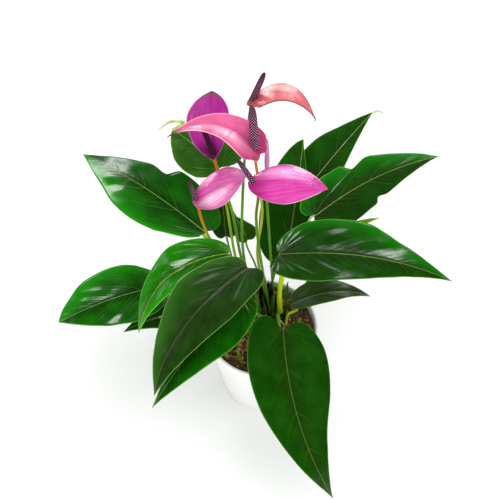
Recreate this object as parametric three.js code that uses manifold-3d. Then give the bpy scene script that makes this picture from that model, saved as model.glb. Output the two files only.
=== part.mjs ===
// A potted anthurium with purple-pink spathes and dark spadices, in millimetres, +Z up.
// The origin is the centre of the pot's flat underside, and the viewer stands on the -Y side.
import * as THREE from 'three';
import { mergeVertices } from 'three/addons/utils/BufferGeometryUtils.js';
import Module from 'manifold-3d';

const wasm = await Module();
wasm.setup();

// Space left between bodies that meet and round a blade's curved faces, and how close corners are one corner
const CLEARANCE = 0.36;
const BLADE_CLEARANCE = 0.45;
const WELD = 1e-4;

// Pot: outer size, wall and floor, the thicker lip round its top, and how far its edges are rounded
const POT = {
  height: 110, rimRadius: 59, footRadius: 43, wall: 2.4, floor: 3,
  lipHeight: 10, lipStep: 1.6, round: 1.4,
};
// Soil: the height of its top, the roughness of the top in rings, its fall at the wall, and a random seed
const SOIL = { surface: 100, relief: 1.3, rings: 6, edgeDrop: 1.5, seed: 7 };
const ROUND_SIDES = 40;

// Half outlines of a blade of unit length and unit half width, from the junction round the lobe to the tip.
// Each pair is the place along the midrib and the distance from it.
const LEAF_OUTLINE = [
  [0, 0], [-0.055, 0.22], [-0.085, 0.48], [-0.06, 0.72], [0.03, 0.92], [0.18, 1],
  [0.36, 0.9], [0.55, 0.64], [0.72, 0.4], [0.86, 0.19], [0.94, 0.07], [1, 0],
];
const SPATHE_OUTLINE = [
  [0, 0], [-0.04, 0.25], [-0.05, 0.5], [0.01, 0.75], [0.13, 0.93], [0.31, 1],
  [0.5, 0.92], [0.68, 0.7], [0.83, 0.42], [0.93, 0.17], [0.97, 0.07], [1, 0],
];

// Leaves: junction and tip of the blade, half widths on the left and right looking out along the blade,
// arch of the midrib and its sideways bend, fold of each half, and the petiole's root and way points.
// Lobes of 1 give full basal lobes, 0 a straight base and less than 0 a wedge, and belly moves the widest
// place towards the tip. A notch has a place along the blade, a width and a depth.
const LEAVES = [
  { name: 'front_leaf', junction: [21, -27, 150], tip: [74, -167, 45], halfWidths: [42, 42],
    arch: 14, bend: 15, fold: [12, 12], lobes: [0.5, 0.9], hook: 6, wave: 1.5,
    root: [15, 7], way: [[16, 0, 134]], radius: 1.9 },
  { name: 'front_left_leaf', junction: [-15, -14, 245], tip: [-107, -116, 182], halfWidths: [30, 36],
    arch: 16, bend: 6, roll: 8, lobes: [0.7, 0.1], belly: [0.5, 0.3], hook: 8, wave: 1.5,
    root: [-1, 3], way: [[-6, 0, 165]], radius: 1.9 },
  { name: 'under_left_leaf', junction: [-23, -20, 203], tip: [-108, -115, 150], halfWidths: [33, 35],
    arch: 10, roll: 5, lobes: [0.6, 0.9], belly: [0, -0.5], wave: 1.5,
    root: [6, -3], way: [[-2, -12, 150]], radius: 1.8 },
  { name: 'left_leaf', junction: [-33, 9, 235], tip: [-123, -44, 172], halfWidths: [21, 29],
    arch: 20, bend: 12, roll: 10, lobes: [0.2, -0.1], belly: [0.35, 0.5], wave: 1.5,
    root: [-9, 10], way: [[-18, 10, 160]], radius: 1.7 },
  { name: 'far_left_leaf', junction: [-100, 21, 158], tip: [-210, -12, 138], halfWidths: [34, 37],
    arch: 10, lobes: [0.1, -0.3], belly: [0.5, 1], wave: 1.5,
    root: [-14, 5], way: [[-22, 6, 116], [-55, 14, 134]], radius: 1.7 },
  { name: 'low_left_leaf', junction: [-86, 8, 128], tip: [-146, -12, 118], halfWidths: [16, 18],
    arch: 6, lobes: [0.6, 0.6], small: true,
    root: [-10, -3], way: [[-16, -3, 114], [-50, 2, 122]], radius: 1.4 },
  { name: 'upper_left_leaf', junction: [-57, 41, 225], tip: [-191, 153, 210], halfWidths: [36, 37],
    arch: 14, roll: -6, lobes: [-0.5, 0.4], belly: [0.4, 0.2], wave: 1.5,
    notches: [null, [0.43, 0.07, 0.25]],
    root: [-9, 18], way: [[-28, 30, 150], [-47, 46, 190]], radius: 1.9 },
  { name: 'back_left_leaf', junction: [-43, 102, 250], tip: [-92, 143, 262], halfWidths: [28, 34],
    arch: 6, roll: -10, lobes: [0, 1.5], belly: [0.75, 0.2], wave: 1,
    root: [-5, 26], way: [[-22, 48, 170], [-33, 78, 222]], radius: 1.6 },
  { name: 'right_leaf', junction: [15, 11, 230], tip: [188, 0, 198], halfWidths: [42, 32],
    arch: 20, lobes: [0.1, 0.6], belly: [0.35, 0], wave: 1.5,
    root: [19, 17], way: [[18, 20, 140], [21, 21, 190]], radius: 2.8 },
  { name: 'low_right_leaf', junction: [31, 10, 140], tip: [115, 25, 130], halfWidths: [18, 12],
    arch: 16, lobes: [0.3, 0.3], belly: [0.3, 0.3], small: true,
    root: [26, 8], way: [[28, 8, 122]], radius: 1.4 },
  { name: 'back_right_leaf', junction: [46, 109, 205], tip: [118, 187, 240], halfWidths: [29, 19],
    arch: 6, roll: 6, lobes: [0.6, 0.6], belly: [0.3, -0.1], wave: 1,
    root: [9, 33], way: [[13, 50, 135], [36, 90, 172]], radius: 1.6 },
  { name: 'back_leaf', junction: [24, 47, 160], tip: [43, 151, 237], halfWidths: [35, 21],
    arch: 8, roll: 12, lobes: [0.2, 1.1], belly: [0.9, 0], wave: 1,
    root: [17, 27], way: [[19, 32, 130]], radius: 1.7 },
  { name: 'upper_right_leaf', junction: [52, 67, 215], tip: [184, 134, 230], halfWidths: [31, 30],
    arch: 10, bend: -5, roll: 6, lobes: [0.6, 0.6], belly: [0.5, 0], wave: 1.5,
    notches: [[0.4, 0.07, 0.28], [0.44, 0.06, 0.2]],
    root: [25, 22], way: [[50, 38, 146]], radius: 1.7 },
  { name: 'inner_dark_leaf', junction: [-38, 71, 175], tip: [-43, 119, 195], halfWidths: [14, 14],
    arch: 3, lobes: [0.5, 0.5], small: true,
    root: [-12, 27], way: [[-28, 52, 140]], radius: 1.2 },
  { name: 'inner_small_leaf', junction: [-15, 73, 165], tip: [-29, 98, 175], halfWidths: [11, 13],
    arch: 3, lobes: [0.5, 0.5], small: true,
    root: [2, 34], way: [[-6, 58, 135]], radius: 1.1 },
  { name: 'young_right_leaf', junction: [62, 55, 186], tip: [120, 77, 200], halfWidths: [7, 7],
    arch: 3, fold: [40, 40], lobes: [0.2, 0.2], belly: [0.4, 0.4], small: true,
    root: [33, 14], way: [[50, 30, 140]], radius: 1.2 },
];

// Blooms: the spathe's junction and tip, the spadix's tip, and the stalk's root and way points
const BLOOMS = [
  { name: 'top_bloom', colour: 0xe0707a, junction: [-16, 82, 369], tip: [45.7, 69, 363.7],
    halfWidths: [12.1, 13.4], arch: 21.5, bend: -2.3, fold: [5.5, -2.9], curl: [-10, -2.3],
    lobes: [-1.2, 0], belly: [0.27, -0.95],
    spadixTip: [0, 80, 410], spadixRadius: 3,
    root: [1, 18], way: [[-18.5, 38, 178], [-19, 68, 280]] },
  { name: 'centre_bloom', colour: 0xe06a9c, junction: [-3, 50, 335], tip: [-85.6, 64, 346.1],
    halfWidths: [20.7, 15.4], arch: 20.4, bend: 8.6, roll: -6.7, fold: [17.5, 31.7], curl: [-8, 0.7],
    lobes: [0.45, 0.5], belly: [-0.84, -0.95],
    spadixTip: [-11, 60, 389], spadixRadius: 4.4,
    root: [7, 24], way: [[-5, 42, 180], [-1, 46, 255]] },
  { name: 'upright_bloom', colour: 0xb43aa0, junction: [-47, 65, 309], tip: [-47.9, 104, 360.2],
    halfWidths: [29.7, 20.7], arch: -7.7, bend: -0.8, roll: 0.9, fold: [29.7, 27.3], curl: [10.3, 14.6],
    lobes: [-0.7, -1.2], belly: [0.92, 1],
    spadixTip: [-57, 76, 345], spadixRadius: 2.8,
    root: [-4, 12], way: [[-26, 40, 170], [-36, 58, 245]] },
  { name: 'left_bloom', colour: 0xcf5fb5, junction: [-67, 31, 288], tip: [-15.8, 53, 299.4],
    halfWidths: [19.5, 17.6], arch: 7, bend: 0.7, roll: 12.3, fold: [-1.7, 0.4], curl: [-14.4, -13.5],
    lobes: [-1.2, 0], belly: [1, 0],
    spadixTip: [-69, 35, 315], spadixRadius: 2.3,
    root: [-10, 13.5], way: [[-27, 22, 150], [-47, 39, 200], [-53, 34, 225], [-58, 32, 250]] },
  { name: 'right_bloom', colour: 0xc8409c, junction: [-15, 24, 326], tip: [58.6, 23, 318.1],
    halfWidths: [20, 22], arch: 10.8, bend: 0.4, roll: 7.8, fold: [-1.8, -4.2], curl: [-11.7, -16.8],
    lobes: [-0.6, -0.1], belly: [0.2, 0.1],
    spadixTip: [-24, 31, 351], spadixRadius: 2.7,
    root: [9, 13], way: [[-3, 33, 200], [-7, 27, 270]] },
];

// A rolled young spathe on its own stalk
const BUD = {
  base: [3, 57, 300], tip: [3, 68, 337], radius: 2.7,
  root: [13, 22], way: [[9, 45, 170], [4, 56, 250]],
};

// Pointed sheaths that stand in the soil between the stems, and a sprout by the pot's front edge
const SHOOTS = [
  { name: 'crown_sheath_1', root: [5, 5], tip: [2, 10, 140], radius: 2.3, colour: 0x4c4a2c },
  { name: 'crown_sheath_2', root: [25, 30], tip: [27, 38, 138], radius: 1.9, colour: 0x9bb04a },
  { name: 'sprout', root: [-23, -37], tip: [-26, -33, 124], radius: 1.6, colour: 0x7fa23a },
];

// Blade thicknesses and how finely a blade is cut into facets
const LEAF_THICKNESS = 0.8;
const SPATHE_THICKNESS = 0.9;
const LARGE_GRID = { rows: 14, columns: 4 };
const SMALL_GRID = { rows: 10, columns: 3 };

// Side veins leave the midrib nearer the junction than they reach the margin, and bend towards the tip
const VEIN_SWEEP = 0.16;
const VEIN_CURVE = 1.15;
// How far a lobe of 0 moves the margin towards the tip, as a share of the blade's length
const LOBE_SLOPE = 0.177;
// A hooked tip bends down from this share of the length
const HOOK_START = 0.7;
// Waves of the margin along the blade, and the share of a wave between its two halves
const WAVES = 2.5;
const WAVE_SHIFT = 0.37;

// Stems: round tubes that leave the soil upright and end under the blade, just ahead of its junction
const ROOT_DEPTH = 14;
const HOLE_GAP = 0.5;
const STRAIGHT_ABOVE_SOIL = 7;
const STALK_RADIUS = 1.6;
const STEM_SIDES = 7;
const STEM_STEPS = 10;
const SEAT_MARGIN = 2.2;
const STEM_APPROACH = 16;
const STEM_PAST_BLADE = 3;

// Spadix: florets round and along it and how far they stand out, how much it narrows, how blunt its tip is
// and how far it starts below the spathe
const SPADIX = { round: 12, rows: 15, relief: 0.45, taper: 0.22, bluntness: 6, tipRadius: 0.35, sunk: 2 };

// Half outline of a shoot or bud of unit radius and length: distance from the axis, then height
const SPINDLE_OUTLINE = [
  [0, 0], [0.62, 0], [0.9, 0.14], [1, 0.32], [0.82, 0.6], [0.42, 0.85], [0.14, 0.97], [0, 1],
];
const SPINDLE_SIDES = 8;
const SHOOT_DEPTH = 7;

// Colours
const LEAF_COLOUR = 0x2f5d24;
const PETIOLE_COLOUR = 0x8fa83a;
const POT_COLOUR = 0xf2f1ee;
const SOIL_COLOUR = 0x4a3226;
const STALK_COLOUR = 0x9aa03a;
const SPADIX_COLOUR = 0x3d1f3d;
const BUD_COLOUR = 0xb48ac0;

// Vector helpers
const v3 = (p) => new THREE.Vector3(p[0], p[1], p[2]);

// Turns a closed geometry into a solid for joining and cutting
function toSolid(geometry) {
  const bare = geometry.clone();
  bare.deleteAttribute('normal');
  bare.deleteAttribute('uv');
  const merged = mergeVertices(bare, WELD);
  return new wasm.Manifold(new wasm.Mesh({
    numProp: 3,
    vertProperties: new Float32Array(merged.attributes.position.array),
    triVerts: new Uint32Array(merged.index.array),
  }));
}

// Turns a solid back into a geometry
function toGeometry(solid) {
  const mesh = solid.getMesh();
  const geometry = new THREE.BufferGeometry();
  geometry.setAttribute('position', new THREE.BufferAttribute(new Float32Array(mesh.vertProperties), 3));
  geometry.setIndex(new THREE.BufferAttribute(new Uint32Array(mesh.triVerts), 1));
  geometry.computeVertexNormals();
  return geometry;
}

// The largest connected piece of a solid
function largestPiece(solid) {
  const pieces = solid.decompose();
  return pieces.reduce((best, piece) => (piece.volume() > best.volume() ? piece : best));
}

// A mesh with its own material
function makeMesh(name, geometry, colour, roughness = 0.5) {
  const material = new THREE.MeshStandardMaterial({ color: colour, roughness, metalness: 0 });
  const mesh = new THREE.Mesh(geometry, material);
  mesh.name = name;
  return mesh;
}

// The surface of a leaf or spathe: a midrib curve with a cross profile on each side of it
class Blade {
  constructor(options, outline, thickness) {
    const defaults = { arch: 0, bend: 0, roll: 0, hook: 0, wave: 0, small: false };
    Object.assign(this, defaults, options);
    this.fold = options.fold ?? [0, 0];
    this.curl = options.curl ?? [0, 0];
    this.lobes = options.lobes ?? [1, 1];
    this.belly = options.belly ?? [0, 0];
    this.notches = options.notches ?? [null, null];
    this.thickness = thickness;
    this.start = v3(options.junction);
    this.end = v3(options.tip);
    this.length = this.end.distanceTo(this.start);
    this.outline = new THREE.SplineCurve(outline.map(([a, w]) => new THREE.Vector2(a, w)));
    const along = this.end.clone().sub(this.start).normalize();
    const level = new THREE.Vector3().crossVectors(along, new THREE.Vector3(0, 0, 1)).normalize();
    const roll = THREE.MathUtils.degToRad(this.roll);
    this.across = level.applyAxisAngle(along, roll);
    this.up = new THREE.Vector3().crossVectors(this.across, along);
    const middle = this.start.clone().lerp(this.end, 0.5);
    middle.addScaledVector(this.up, 2 * this.arch).addScaledVector(this.across, 2 * this.bend);
    this.midrib = new THREE.QuadraticBezierCurve3(this.start, middle, this.end);
  }

  // Point and axes of the midrib at a share of its length, carried on straight behind the junction
  station(share) {
    const inside = THREE.MathUtils.clamp(share, 0, 1);
    const tangent = this.midrib.getTangent(inside);
    const point = this.midrib.getPoint(inside);
    point.addScaledVector(this.up, -this.hook * Math.max(0, (inside - HOOK_START) / (1 - HOOK_START)) ** 2);
    point.addScaledVector(tangent, Math.min(share, 0) * this.length);
    const normal = this.up.clone().addScaledVector(tangent, -this.up.dot(tangent)).normalize();
    const side = new THREE.Vector3().crossVectors(tangent, normal);
    return { point, tangent, normal, side };
  }

  // Margin of one half at outline parameter t: its place along the midrib and its share of the half width
  margin(t, half) {
    const raw = this.outline.getPoint(t);
    let share = Math.max(raw.y, 0);
    const swell = this.belly[half] * Math.max(raw.x, 0) * (1 - raw.x);
    const along = raw.x + swell + (1 - this.lobes[half]) * LOBE_SLOPE * share * (1 - raw.x) ** 2;
    const notch = this.notches[half];
    if (notch) {
      const [place, width, depth] = notch;
      share *= 1 - depth * Math.exp(-(((along - place) / width) ** 2));
    }
    return { along, share };
  }

  // Where the row of outline parameter t leaves the midrib
  rowRoot(t) {
    const raw = this.outline.getPoint(t);
    return Math.max(0, raw.x - VEIN_SWEEP * Math.max(raw.y, 0));
  }

  // Point of the surface on the row t of a half (0 left, 1 right), at share s from midrib to margin
  point(t, half, s) {
    const { along, share } = this.margin(t, half);
    const root = this.rowRoot(t);
    const place = root + (along - root) * s ** VEIN_CURVE;
    const reach = share * s;
    const { point, normal, side } = this.station(place);
    const tilt = THREE.MathUtils.degToRad(this.fold[half] + this.curl[half] * reach);
    const width = this.halfWidths[half] * reach;
    const ripple = Math.sin(2 * Math.PI * (WAVES * Math.max(place, 0) + WAVE_SHIFT * half));
    const direction = half === 0 ? -1 : 1;
    return point
      .addScaledVector(side, direction * width * Math.cos(tilt))
      .addScaledVector(normal, width * Math.sin(tilt) + this.wave * reach * reach * ripple);
  }

  // Closed solid of the blade, its faces moved out by the gap on both sides
  solid(gap = 0) {
    const { rows, columns } = this.small ? SMALL_GRID : LARGE_GRID;
    const vertices = [];
    const keep = new Map();
    const sinusEnd = 1 / (LEAF_OUTLINE.length - 1);
    const vertex = (row, half, column) => {
      const t = sinusEnd + (1 - sinusEnd) * (row / (rows - 1));
      const isTip = row === rows - 1;
      const root = this.rowRoot(t);
      let key = `${half}:${row}:${column}`;
      if (isTip) key = 'tip';
      else if (column === 0) key = root === 0 ? 'junction' : `midrib:${row}`;
      if (!keep.has(key)) {
        keep.set(key, vertices.length);
        vertices.push(isTip ? this.station(1).point : this.point(t, half, column / columns));
      }
      return keep.get(key);
    };
    const faces = [];
    const addFace = (a, b, c) => {
      if (a !== b && b !== c && c !== a) faces.push([a, b, c]);
    };
    for (const half of [0, 1]) {
      for (let row = 0; row < rows - 1; row += 1) {
        for (let column = 0; column < columns; column += 1) {
          const a = vertex(row, half, column);
          const b = vertex(row, half, column + 1);
          const c = vertex(row + 1, half, column + 1);
          const d = vertex(row + 1, half, column);
          if (half === 1) {
            addFace(a, b, c);
            addFace(a, c, d);
          } else {
            addFace(a, c, b);
            addFace(a, d, c);
          }
        }
      }
    }
    return thicken(vertices, faces, gap, this.thickness + gap);
  }
}

// Closed shell between a sheet of faces moved out by rise and the same sheet moved back by depth
function thicken(vertices, faces, rise, depth) {
  const normals = vertices.map(() => new THREE.Vector3());
  for (const [a, b, c] of faces) {
    const edge = vertices[b].clone().sub(vertices[a]);
    const normal = edge.cross(vertices[c].clone().sub(vertices[a]));
    for (const corner of [a, b, c]) normals[corner].add(normal);
  }
  normals.forEach((normal) => normal.normalize());
  const count = vertices.length;
  const positions = [];
  vertices.forEach((p, i) => positions.push(...p.clone().addScaledVector(normals[i], rise).toArray()));
  vertices.forEach((p, i) => positions.push(...p.clone().addScaledVector(normals[i], -depth).toArray()));
  const edges = new Set(faces.flatMap(([a, b, c]) => [`${a},${b}`, `${b},${c}`, `${c},${a}`]));
  const index = [];
  for (const [a, b, c] of faces) {
    index.push(a, b, c, c + count, b + count, a + count);
    for (const [from, to] of [[a, b], [b, c], [c, a]]) {
      if (!edges.has(`${to},${from}`)) index.push(to, from, from + count, to, from + count, to + count);
    }
  }
  const geometry = new THREE.BufferGeometry();
  geometry.setAttribute('position', new THREE.BufferAttribute(new Float32Array(positions), 3));
  geometry.setIndex(index);
  return geometry;
}

// Where a stem meets the blade just ahead of its junction, and the direction in which it arrives
function attachment(options, blade, radius) {
  const seat = blade.station(((options.spadixRadius ?? radius) + SEAT_MARGIN) / blade.length);
  const axis = options.spadixTip ? v3(options.spadixTip).sub(seat.point).normalize() : seat.normal;
  return { ...seat, axis };
}

// Tube of one radius along way points
function tube(points, radius) {
  const section = new THREE.Shape();
  for (let side = 0; side < STEM_SIDES; side += 1) {
    const angle = (2 * Math.PI * side) / STEM_SIDES;
    const corner = [radius * Math.cos(angle), radius * Math.sin(angle)];
    if (side === 0) section.moveTo(...corner);
    else section.lineTo(...corner);
  }
  section.closePath();
  const path = new THREE.CatmullRomCurve3(points, false, 'centripetal');
  return new THREE.ExtrudeGeometry(section, { steps: STEM_STEPS, extrudePath: path, bevelEnabled: false });
}

// A stem that stands in the soil at its root, follows its way points and meets the blade from below.
// It arrives between the blade's normal and its own heading, or between upright and the spadix's line.
// The blade's clearance solid trims its end. The hole is the room that the soil leaves for it.
function stem(options, blade, radius) {
  const [x, y] = options.root;
  const seat = attachment(options, blade, radius);
  const came = seat.point.clone().sub(v3(options.way.at(-1))).normalize();
  const heading = options.spadixTip ? new THREE.Vector3(0, 0, 1) : came;
  const arrival = seat.axis.clone().add(heading).normalize();
  const below = seat.point.clone().addScaledVector(arrival, -STEM_APPROACH);
  const past = seat.point.clone().addScaledVector(options.spadixTip ? seat.axis : arrival, STEM_PAST_BLADE);
  const points = [
    new THREE.Vector3(x, y, SOIL.surface - ROOT_DEPTH),
    new THREE.Vector3(x, y, SOIL.surface + STRAIGHT_ABOVE_SOIL),
    ...options.way.map(v3),
    below,
    past,
  ];
  const whole = toSolid(tube(points, radius));
  points[0].z -= CLEARANCE;
  const hole = toSolid(tube(points, radius + HOLE_GAP));
  return { body: largestPiece(whole.subtract(toSolid(blade.solid(BLADE_CLEARANCE)))), hole };
}

// Puts a geometry made along +Y on its start and turns it towards its finish
function standAt(geometry, start, finish) {
  const direction = finish.clone().sub(start).normalize();
  const turn = new THREE.Quaternion().setFromUnitVectors(new THREE.Vector3(0, 1, 0), direction);
  geometry.applyQuaternion(turn);
  geometry.translate(...start.toArray());
}

// Flower spike: a tapered finger whose florets stand out in a lattice
function spadix(options, blade) {
  const radius = options.spadixRadius;
  const seat = attachment(options, blade, radius);
  const start = seat.point.clone().addScaledVector(seat.axis, -SPADIX.sunk);
  const finish = v3(options.spadixTip);
  const length = finish.distanceTo(start);
  const profile = [new THREE.Vector2(0, 0)];
  for (let row = 0; row <= SPADIX.rows; row += 1) {
    const share = row / SPADIX.rows;
    const taper = Math.sqrt(1 - share ** SPADIX.bluntness) * (1 - SPADIX.taper * share);
    profile.push(new THREE.Vector2(radius * Math.max(taper, SPADIX.tipRadius), length * share));
  }
  profile.push(new THREE.Vector2(0, length + SPADIX.relief));
  const geometry = new THREE.LatheGeometry(profile, SPADIX.round);
  const place = geometry.attributes.position;
  const rows = profile.length;
  for (let i = 0; i < place.count; i += 1) {
    const row = i % rows;
    const column = Math.floor(i / rows) % SPADIX.round;
    const inside = row > 1 && row < rows - 2;
    const raise = inside && (row + column) % 2 === 0 ? 1 + SPADIX.relief / radius : 1;
    place.setX(i, place.getX(i) * raise);
    place.setZ(i, place.getZ(i) * raise);
  }
  standAt(geometry, start, finish);
  return largestPiece(toSolid(geometry).subtract(toSolid(blade.solid(BLADE_CLEARANCE))));
}

// Pointed spindle from a base point to a tip
function spindle(base, tip, radius, extra = 0) {
  const length = tip.distanceTo(base);
  const profile = SPINDLE_OUTLINE.map(([r, h]) => new THREE.Vector2(r && r * radius + extra, h * length));
  const geometry = new THREE.LatheGeometry(profile, SPINDLE_SIDES);
  standAt(geometry, base, tip);
  return toSolid(geometry);
}

// A shoot standing in the soil, and the room that the soil leaves for it
function shoot({ root, tip, radius }) {
  const top = v3(tip);
  const ground = new THREE.Vector3(root[0], root[1], SOIL.surface);
  const axis = top.clone().sub(ground).normalize();
  const base = ground.clone().addScaledVector(axis, -SHOOT_DEPTH);
  const deeper = base.clone().addScaledVector(axis, -CLEARANCE);
  return { body: spindle(base, top, radius), hole: spindle(deeper, top, radius, HOLE_GAP) };
}

// The young spathe's stalk, which ends square just below it, and its hole
function budStalk() {
  const base = v3(BUD.base);
  const axis = v3(BUD.tip).sub(base).normalize();
  const [x, y] = BUD.root;
  const points = [
    new THREE.Vector3(x, y, SOIL.surface - ROOT_DEPTH),
    new THREE.Vector3(x, y, SOIL.surface + STRAIGHT_ABOVE_SOIL),
    ...BUD.way.map(v3),
    base.clone().addScaledVector(axis, -STEM_APPROACH),
    base.clone().addScaledVector(axis, -CLEARANCE),
  ];
  const body = toSolid(tube(points, STALK_RADIUS));
  points[0].z -= CLEARANCE;
  return { body, hole: toSolid(tube(points, STALK_RADIUS + HOLE_GAP)) };
}

// Pot: tapered wall with a thicker rim, closed floor
function pot() {
  const { height, rimRadius, footRadius, wall, floor, lipHeight, lipStep, round } = POT;
  const lipFoot = height - lipHeight;
  const wallTop = rimRadius - lipStep;
  const profile = [
    [0, 0], [footRadius - round, 0], [footRadius, round], [wallTop, lipFoot], [rimRadius, lipFoot + round],
    [rimRadius, height - round], [rimRadius - round, height], [rimRadius - wall, height],
    [wallTop - wall, height - round], [wallTop - wall, lipFoot], [footRadius - wall, floor], [0, floor],
  ];
  const geometry = new THREE.LatheGeometry(profile.map(([r, z]) => new THREE.Vector2(r, z)), ROUND_SIDES);
  geometry.rotateX(Math.PI / 2);
  return toSolid(geometry);
}

// Inner radius of the pot at a height
function potInside(z) {
  const top = POT.height - POT.lipHeight;
  const share = (z - POT.floor) / (top - POT.floor);
  return THREE.MathUtils.lerp(POT.footRadius - POT.wall, POT.rimRadius - POT.lipStep - POT.wall, share);
}

// Seeded random numbers from 0 to 1
function randomSource(seed) {
  let state = seed;
  return () => {
    state = (state * 48271) % 2147483647;
    return state / 2147483647;
  };
}

// Soil: a plug of the pot's inside with a rough top, and a plain hole for each root
function soil(holes) {
  const random = randomSource(SOIL.seed);
  const bottom = POT.floor + CLEARANCE;
  const edgeHeight = SOIL.surface - SOIL.edgeDrop;
  const edge = potInside(edgeHeight) - CLEARANCE;
  const profile = [
    new THREE.Vector2(0, bottom),
    new THREE.Vector2(potInside(bottom) - CLEARANCE, bottom),
    new THREE.Vector2(edge, edgeHeight),
  ];
  for (let ring = SOIL.rings - 1; ring > 0; ring -= 1) {
    profile.push(new THREE.Vector2((edge * ring) / SOIL.rings, SOIL.surface));
  }
  profile.push(new THREE.Vector2(0, SOIL.surface));
  const geometry = new THREE.LatheGeometry(profile, ROUND_SIDES);
  geometry.rotateX(Math.PI / 2);
  const place = geometry.attributes.position;
  const rows = profile.length;
  const heights = Array.from({ length: place.count }, () => (random() - 0.5) * 2 * SOIL.relief);
  for (let i = 0; i < place.count; i += 1) {
    const row = i % rows;
    const column = Math.floor(i / rows) % ROUND_SIDES;
    if (row > 2 && row < rows - 1) place.setZ(i, place.getZ(i) + heights[row * ROUND_SIDES + column]);
  }
  let solid = toSolid(geometry);
  for (const hole of holes) solid = solid.subtract(hole);
  return solid;
}

const part = new THREE.Group();
const holes = [];
for (const leaf of LEAVES) {
  const blade = new Blade(leaf, LEAF_OUTLINE, LEAF_THICKNESS);
  const petiole = stem(leaf, blade, leaf.radius);
  part.add(makeMesh(`${leaf.name}_blade`, toGeometry(toSolid(blade.solid())), LEAF_COLOUR, 0.35));
  part.add(makeMesh(`${leaf.name}_petiole`, toGeometry(petiole.body), PETIOLE_COLOUR));
  holes.push(petiole.hole);
}
for (const bloom of BLOOMS) {
  const blade = new Blade(bloom, SPATHE_OUTLINE, SPATHE_THICKNESS);
  const stalk = stem(bloom, blade, STALK_RADIUS);
  part.add(makeMesh(`${bloom.name}_spathe`, toGeometry(toSolid(blade.solid())), bloom.colour, 0.3));
  part.add(makeMesh(`${bloom.name}_spadix`, toGeometry(spadix(bloom, blade)), SPADIX_COLOUR, 0.6));
  part.add(makeMesh(`${bloom.name}_stalk`, toGeometry(stalk.body), STALK_COLOUR));
  holes.push(stalk.hole);
}
const stalkOfBud = budStalk();
const bud = spindle(v3(BUD.base), v3(BUD.tip), BUD.radius);
part.add(makeMesh('bud_spathe', toGeometry(bud), BUD_COLOUR, 0.35));
part.add(makeMesh('bud_stalk', toGeometry(stalkOfBud.body), STALK_COLOUR));
holes.push(stalkOfBud.hole);
for (const item of SHOOTS) {
  const { body, hole } = shoot(item);
  part.add(makeMesh(item.name, toGeometry(body), item.colour));
  holes.push(hole);
}
part.add(makeMesh('pot', toGeometry(pot()), POT_COLOUR, 0.4));
part.add(makeMesh('soil', toGeometry(soil(holes)), SOIL_COLOUR, 0.95));

export default part;
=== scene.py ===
"""Potted anthurium: waxy leaves, spathes and spadices, stems, soil and pot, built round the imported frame.

Sizes are in millimetres in the tables and become metres when a mesh is made. The origin is the
centre of the pot's flat underside, +Z is up and the viewer stands on the -Y side.
"""

import logging
import math
import random
from dataclasses import dataclass, field
from enum import Enum
from typing import Callable, Iterable, Optional, Sequence, Union

import bmesh
import bpy
from mathutils import Matrix, Vector, noise


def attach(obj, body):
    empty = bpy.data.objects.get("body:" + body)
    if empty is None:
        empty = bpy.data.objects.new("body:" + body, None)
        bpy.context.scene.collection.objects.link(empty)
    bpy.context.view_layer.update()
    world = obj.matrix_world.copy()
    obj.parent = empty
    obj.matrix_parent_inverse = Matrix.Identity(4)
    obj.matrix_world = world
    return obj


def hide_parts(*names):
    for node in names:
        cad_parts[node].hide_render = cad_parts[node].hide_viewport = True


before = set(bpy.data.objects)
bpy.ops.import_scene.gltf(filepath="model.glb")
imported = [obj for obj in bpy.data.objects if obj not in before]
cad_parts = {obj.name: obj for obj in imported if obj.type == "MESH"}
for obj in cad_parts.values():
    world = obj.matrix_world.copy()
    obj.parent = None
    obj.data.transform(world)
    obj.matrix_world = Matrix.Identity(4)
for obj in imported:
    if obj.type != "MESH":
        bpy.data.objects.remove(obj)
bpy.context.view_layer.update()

LOG = logging.getLogger("anthurium")
MM = 0.001
BODY = "root"
UP = Vector((0, 0, 1))
TURN = 2 * math.pi
WELD = 0.01

Pair = tuple[float, float]
Colour = tuple[int, int, int]
Triple = tuple[float, float, float]
Place = Union[float, Vector]
Key = Union[int, str]
Socket = bpy.types.NodeSocket
Material = bpy.types.Material
Mesh = bmesh.types.BMesh
Value = Union[float, Sequence[float], "Signal"]
Finish = Union["LeafFinish", "SpatheFinish", "StemFinish", "SpadixFinish", "SpeckledFinish", "PotFinish"]

# Half outlines of a blade of unit length and unit half width, from the junction round the lobe to the tip
LEAF_OUTLINE: tuple[Pair, ...] = (
    (0, 0), (-0.055, 0.22), (-0.085, 0.48), (-0.06, 0.72), (0.03, 0.92), (0.18, 1),
    (0.36, 0.9), (0.55, 0.64), (0.72, 0.4), (0.86, 0.19), (0.94, 0.07), (1, 0),
)
SPATHE_OUTLINE: tuple[Pair, ...] = (
    (0, 0), (-0.04, 0.25), (-0.05, 0.5), (0.01, 0.75), (0.13, 0.93), (0.31, 1),
    (0.5, 0.92), (0.68, 0.7), (0.83, 0.42), (0.93, 0.17), (0.97, 0.07), (1, 0),
)

# Blades
SINUS_END = 1 / (len(LEAF_OUTLINE) - 1)
SIDE_VEINS = 11
VEIN_SWEEP = 0.3
VEIN_CURVE = 1.3
LOBE_SLOPE = 0.177
HOOK_START = 0.7
WAVES = 2.5
WAVE_SHIFT = 0.37
NOTCH_STEEPNESS = 0.4
QUILT_FULL_WIDTH = 18
GROOVE_WIDTH = 1.6
CRUMPLE_CELL = 15
CRUMPLE_FULL_WIDTH = 10
GLOW_REACH = 20
VEIN_PROBE = 0.004
ROW_PROBE = 0.01
LEAF_THICKNESS = 0.8
SPATHE_THICKNESS = 0.9
SPATHE_GRID = (80, 48)

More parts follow.
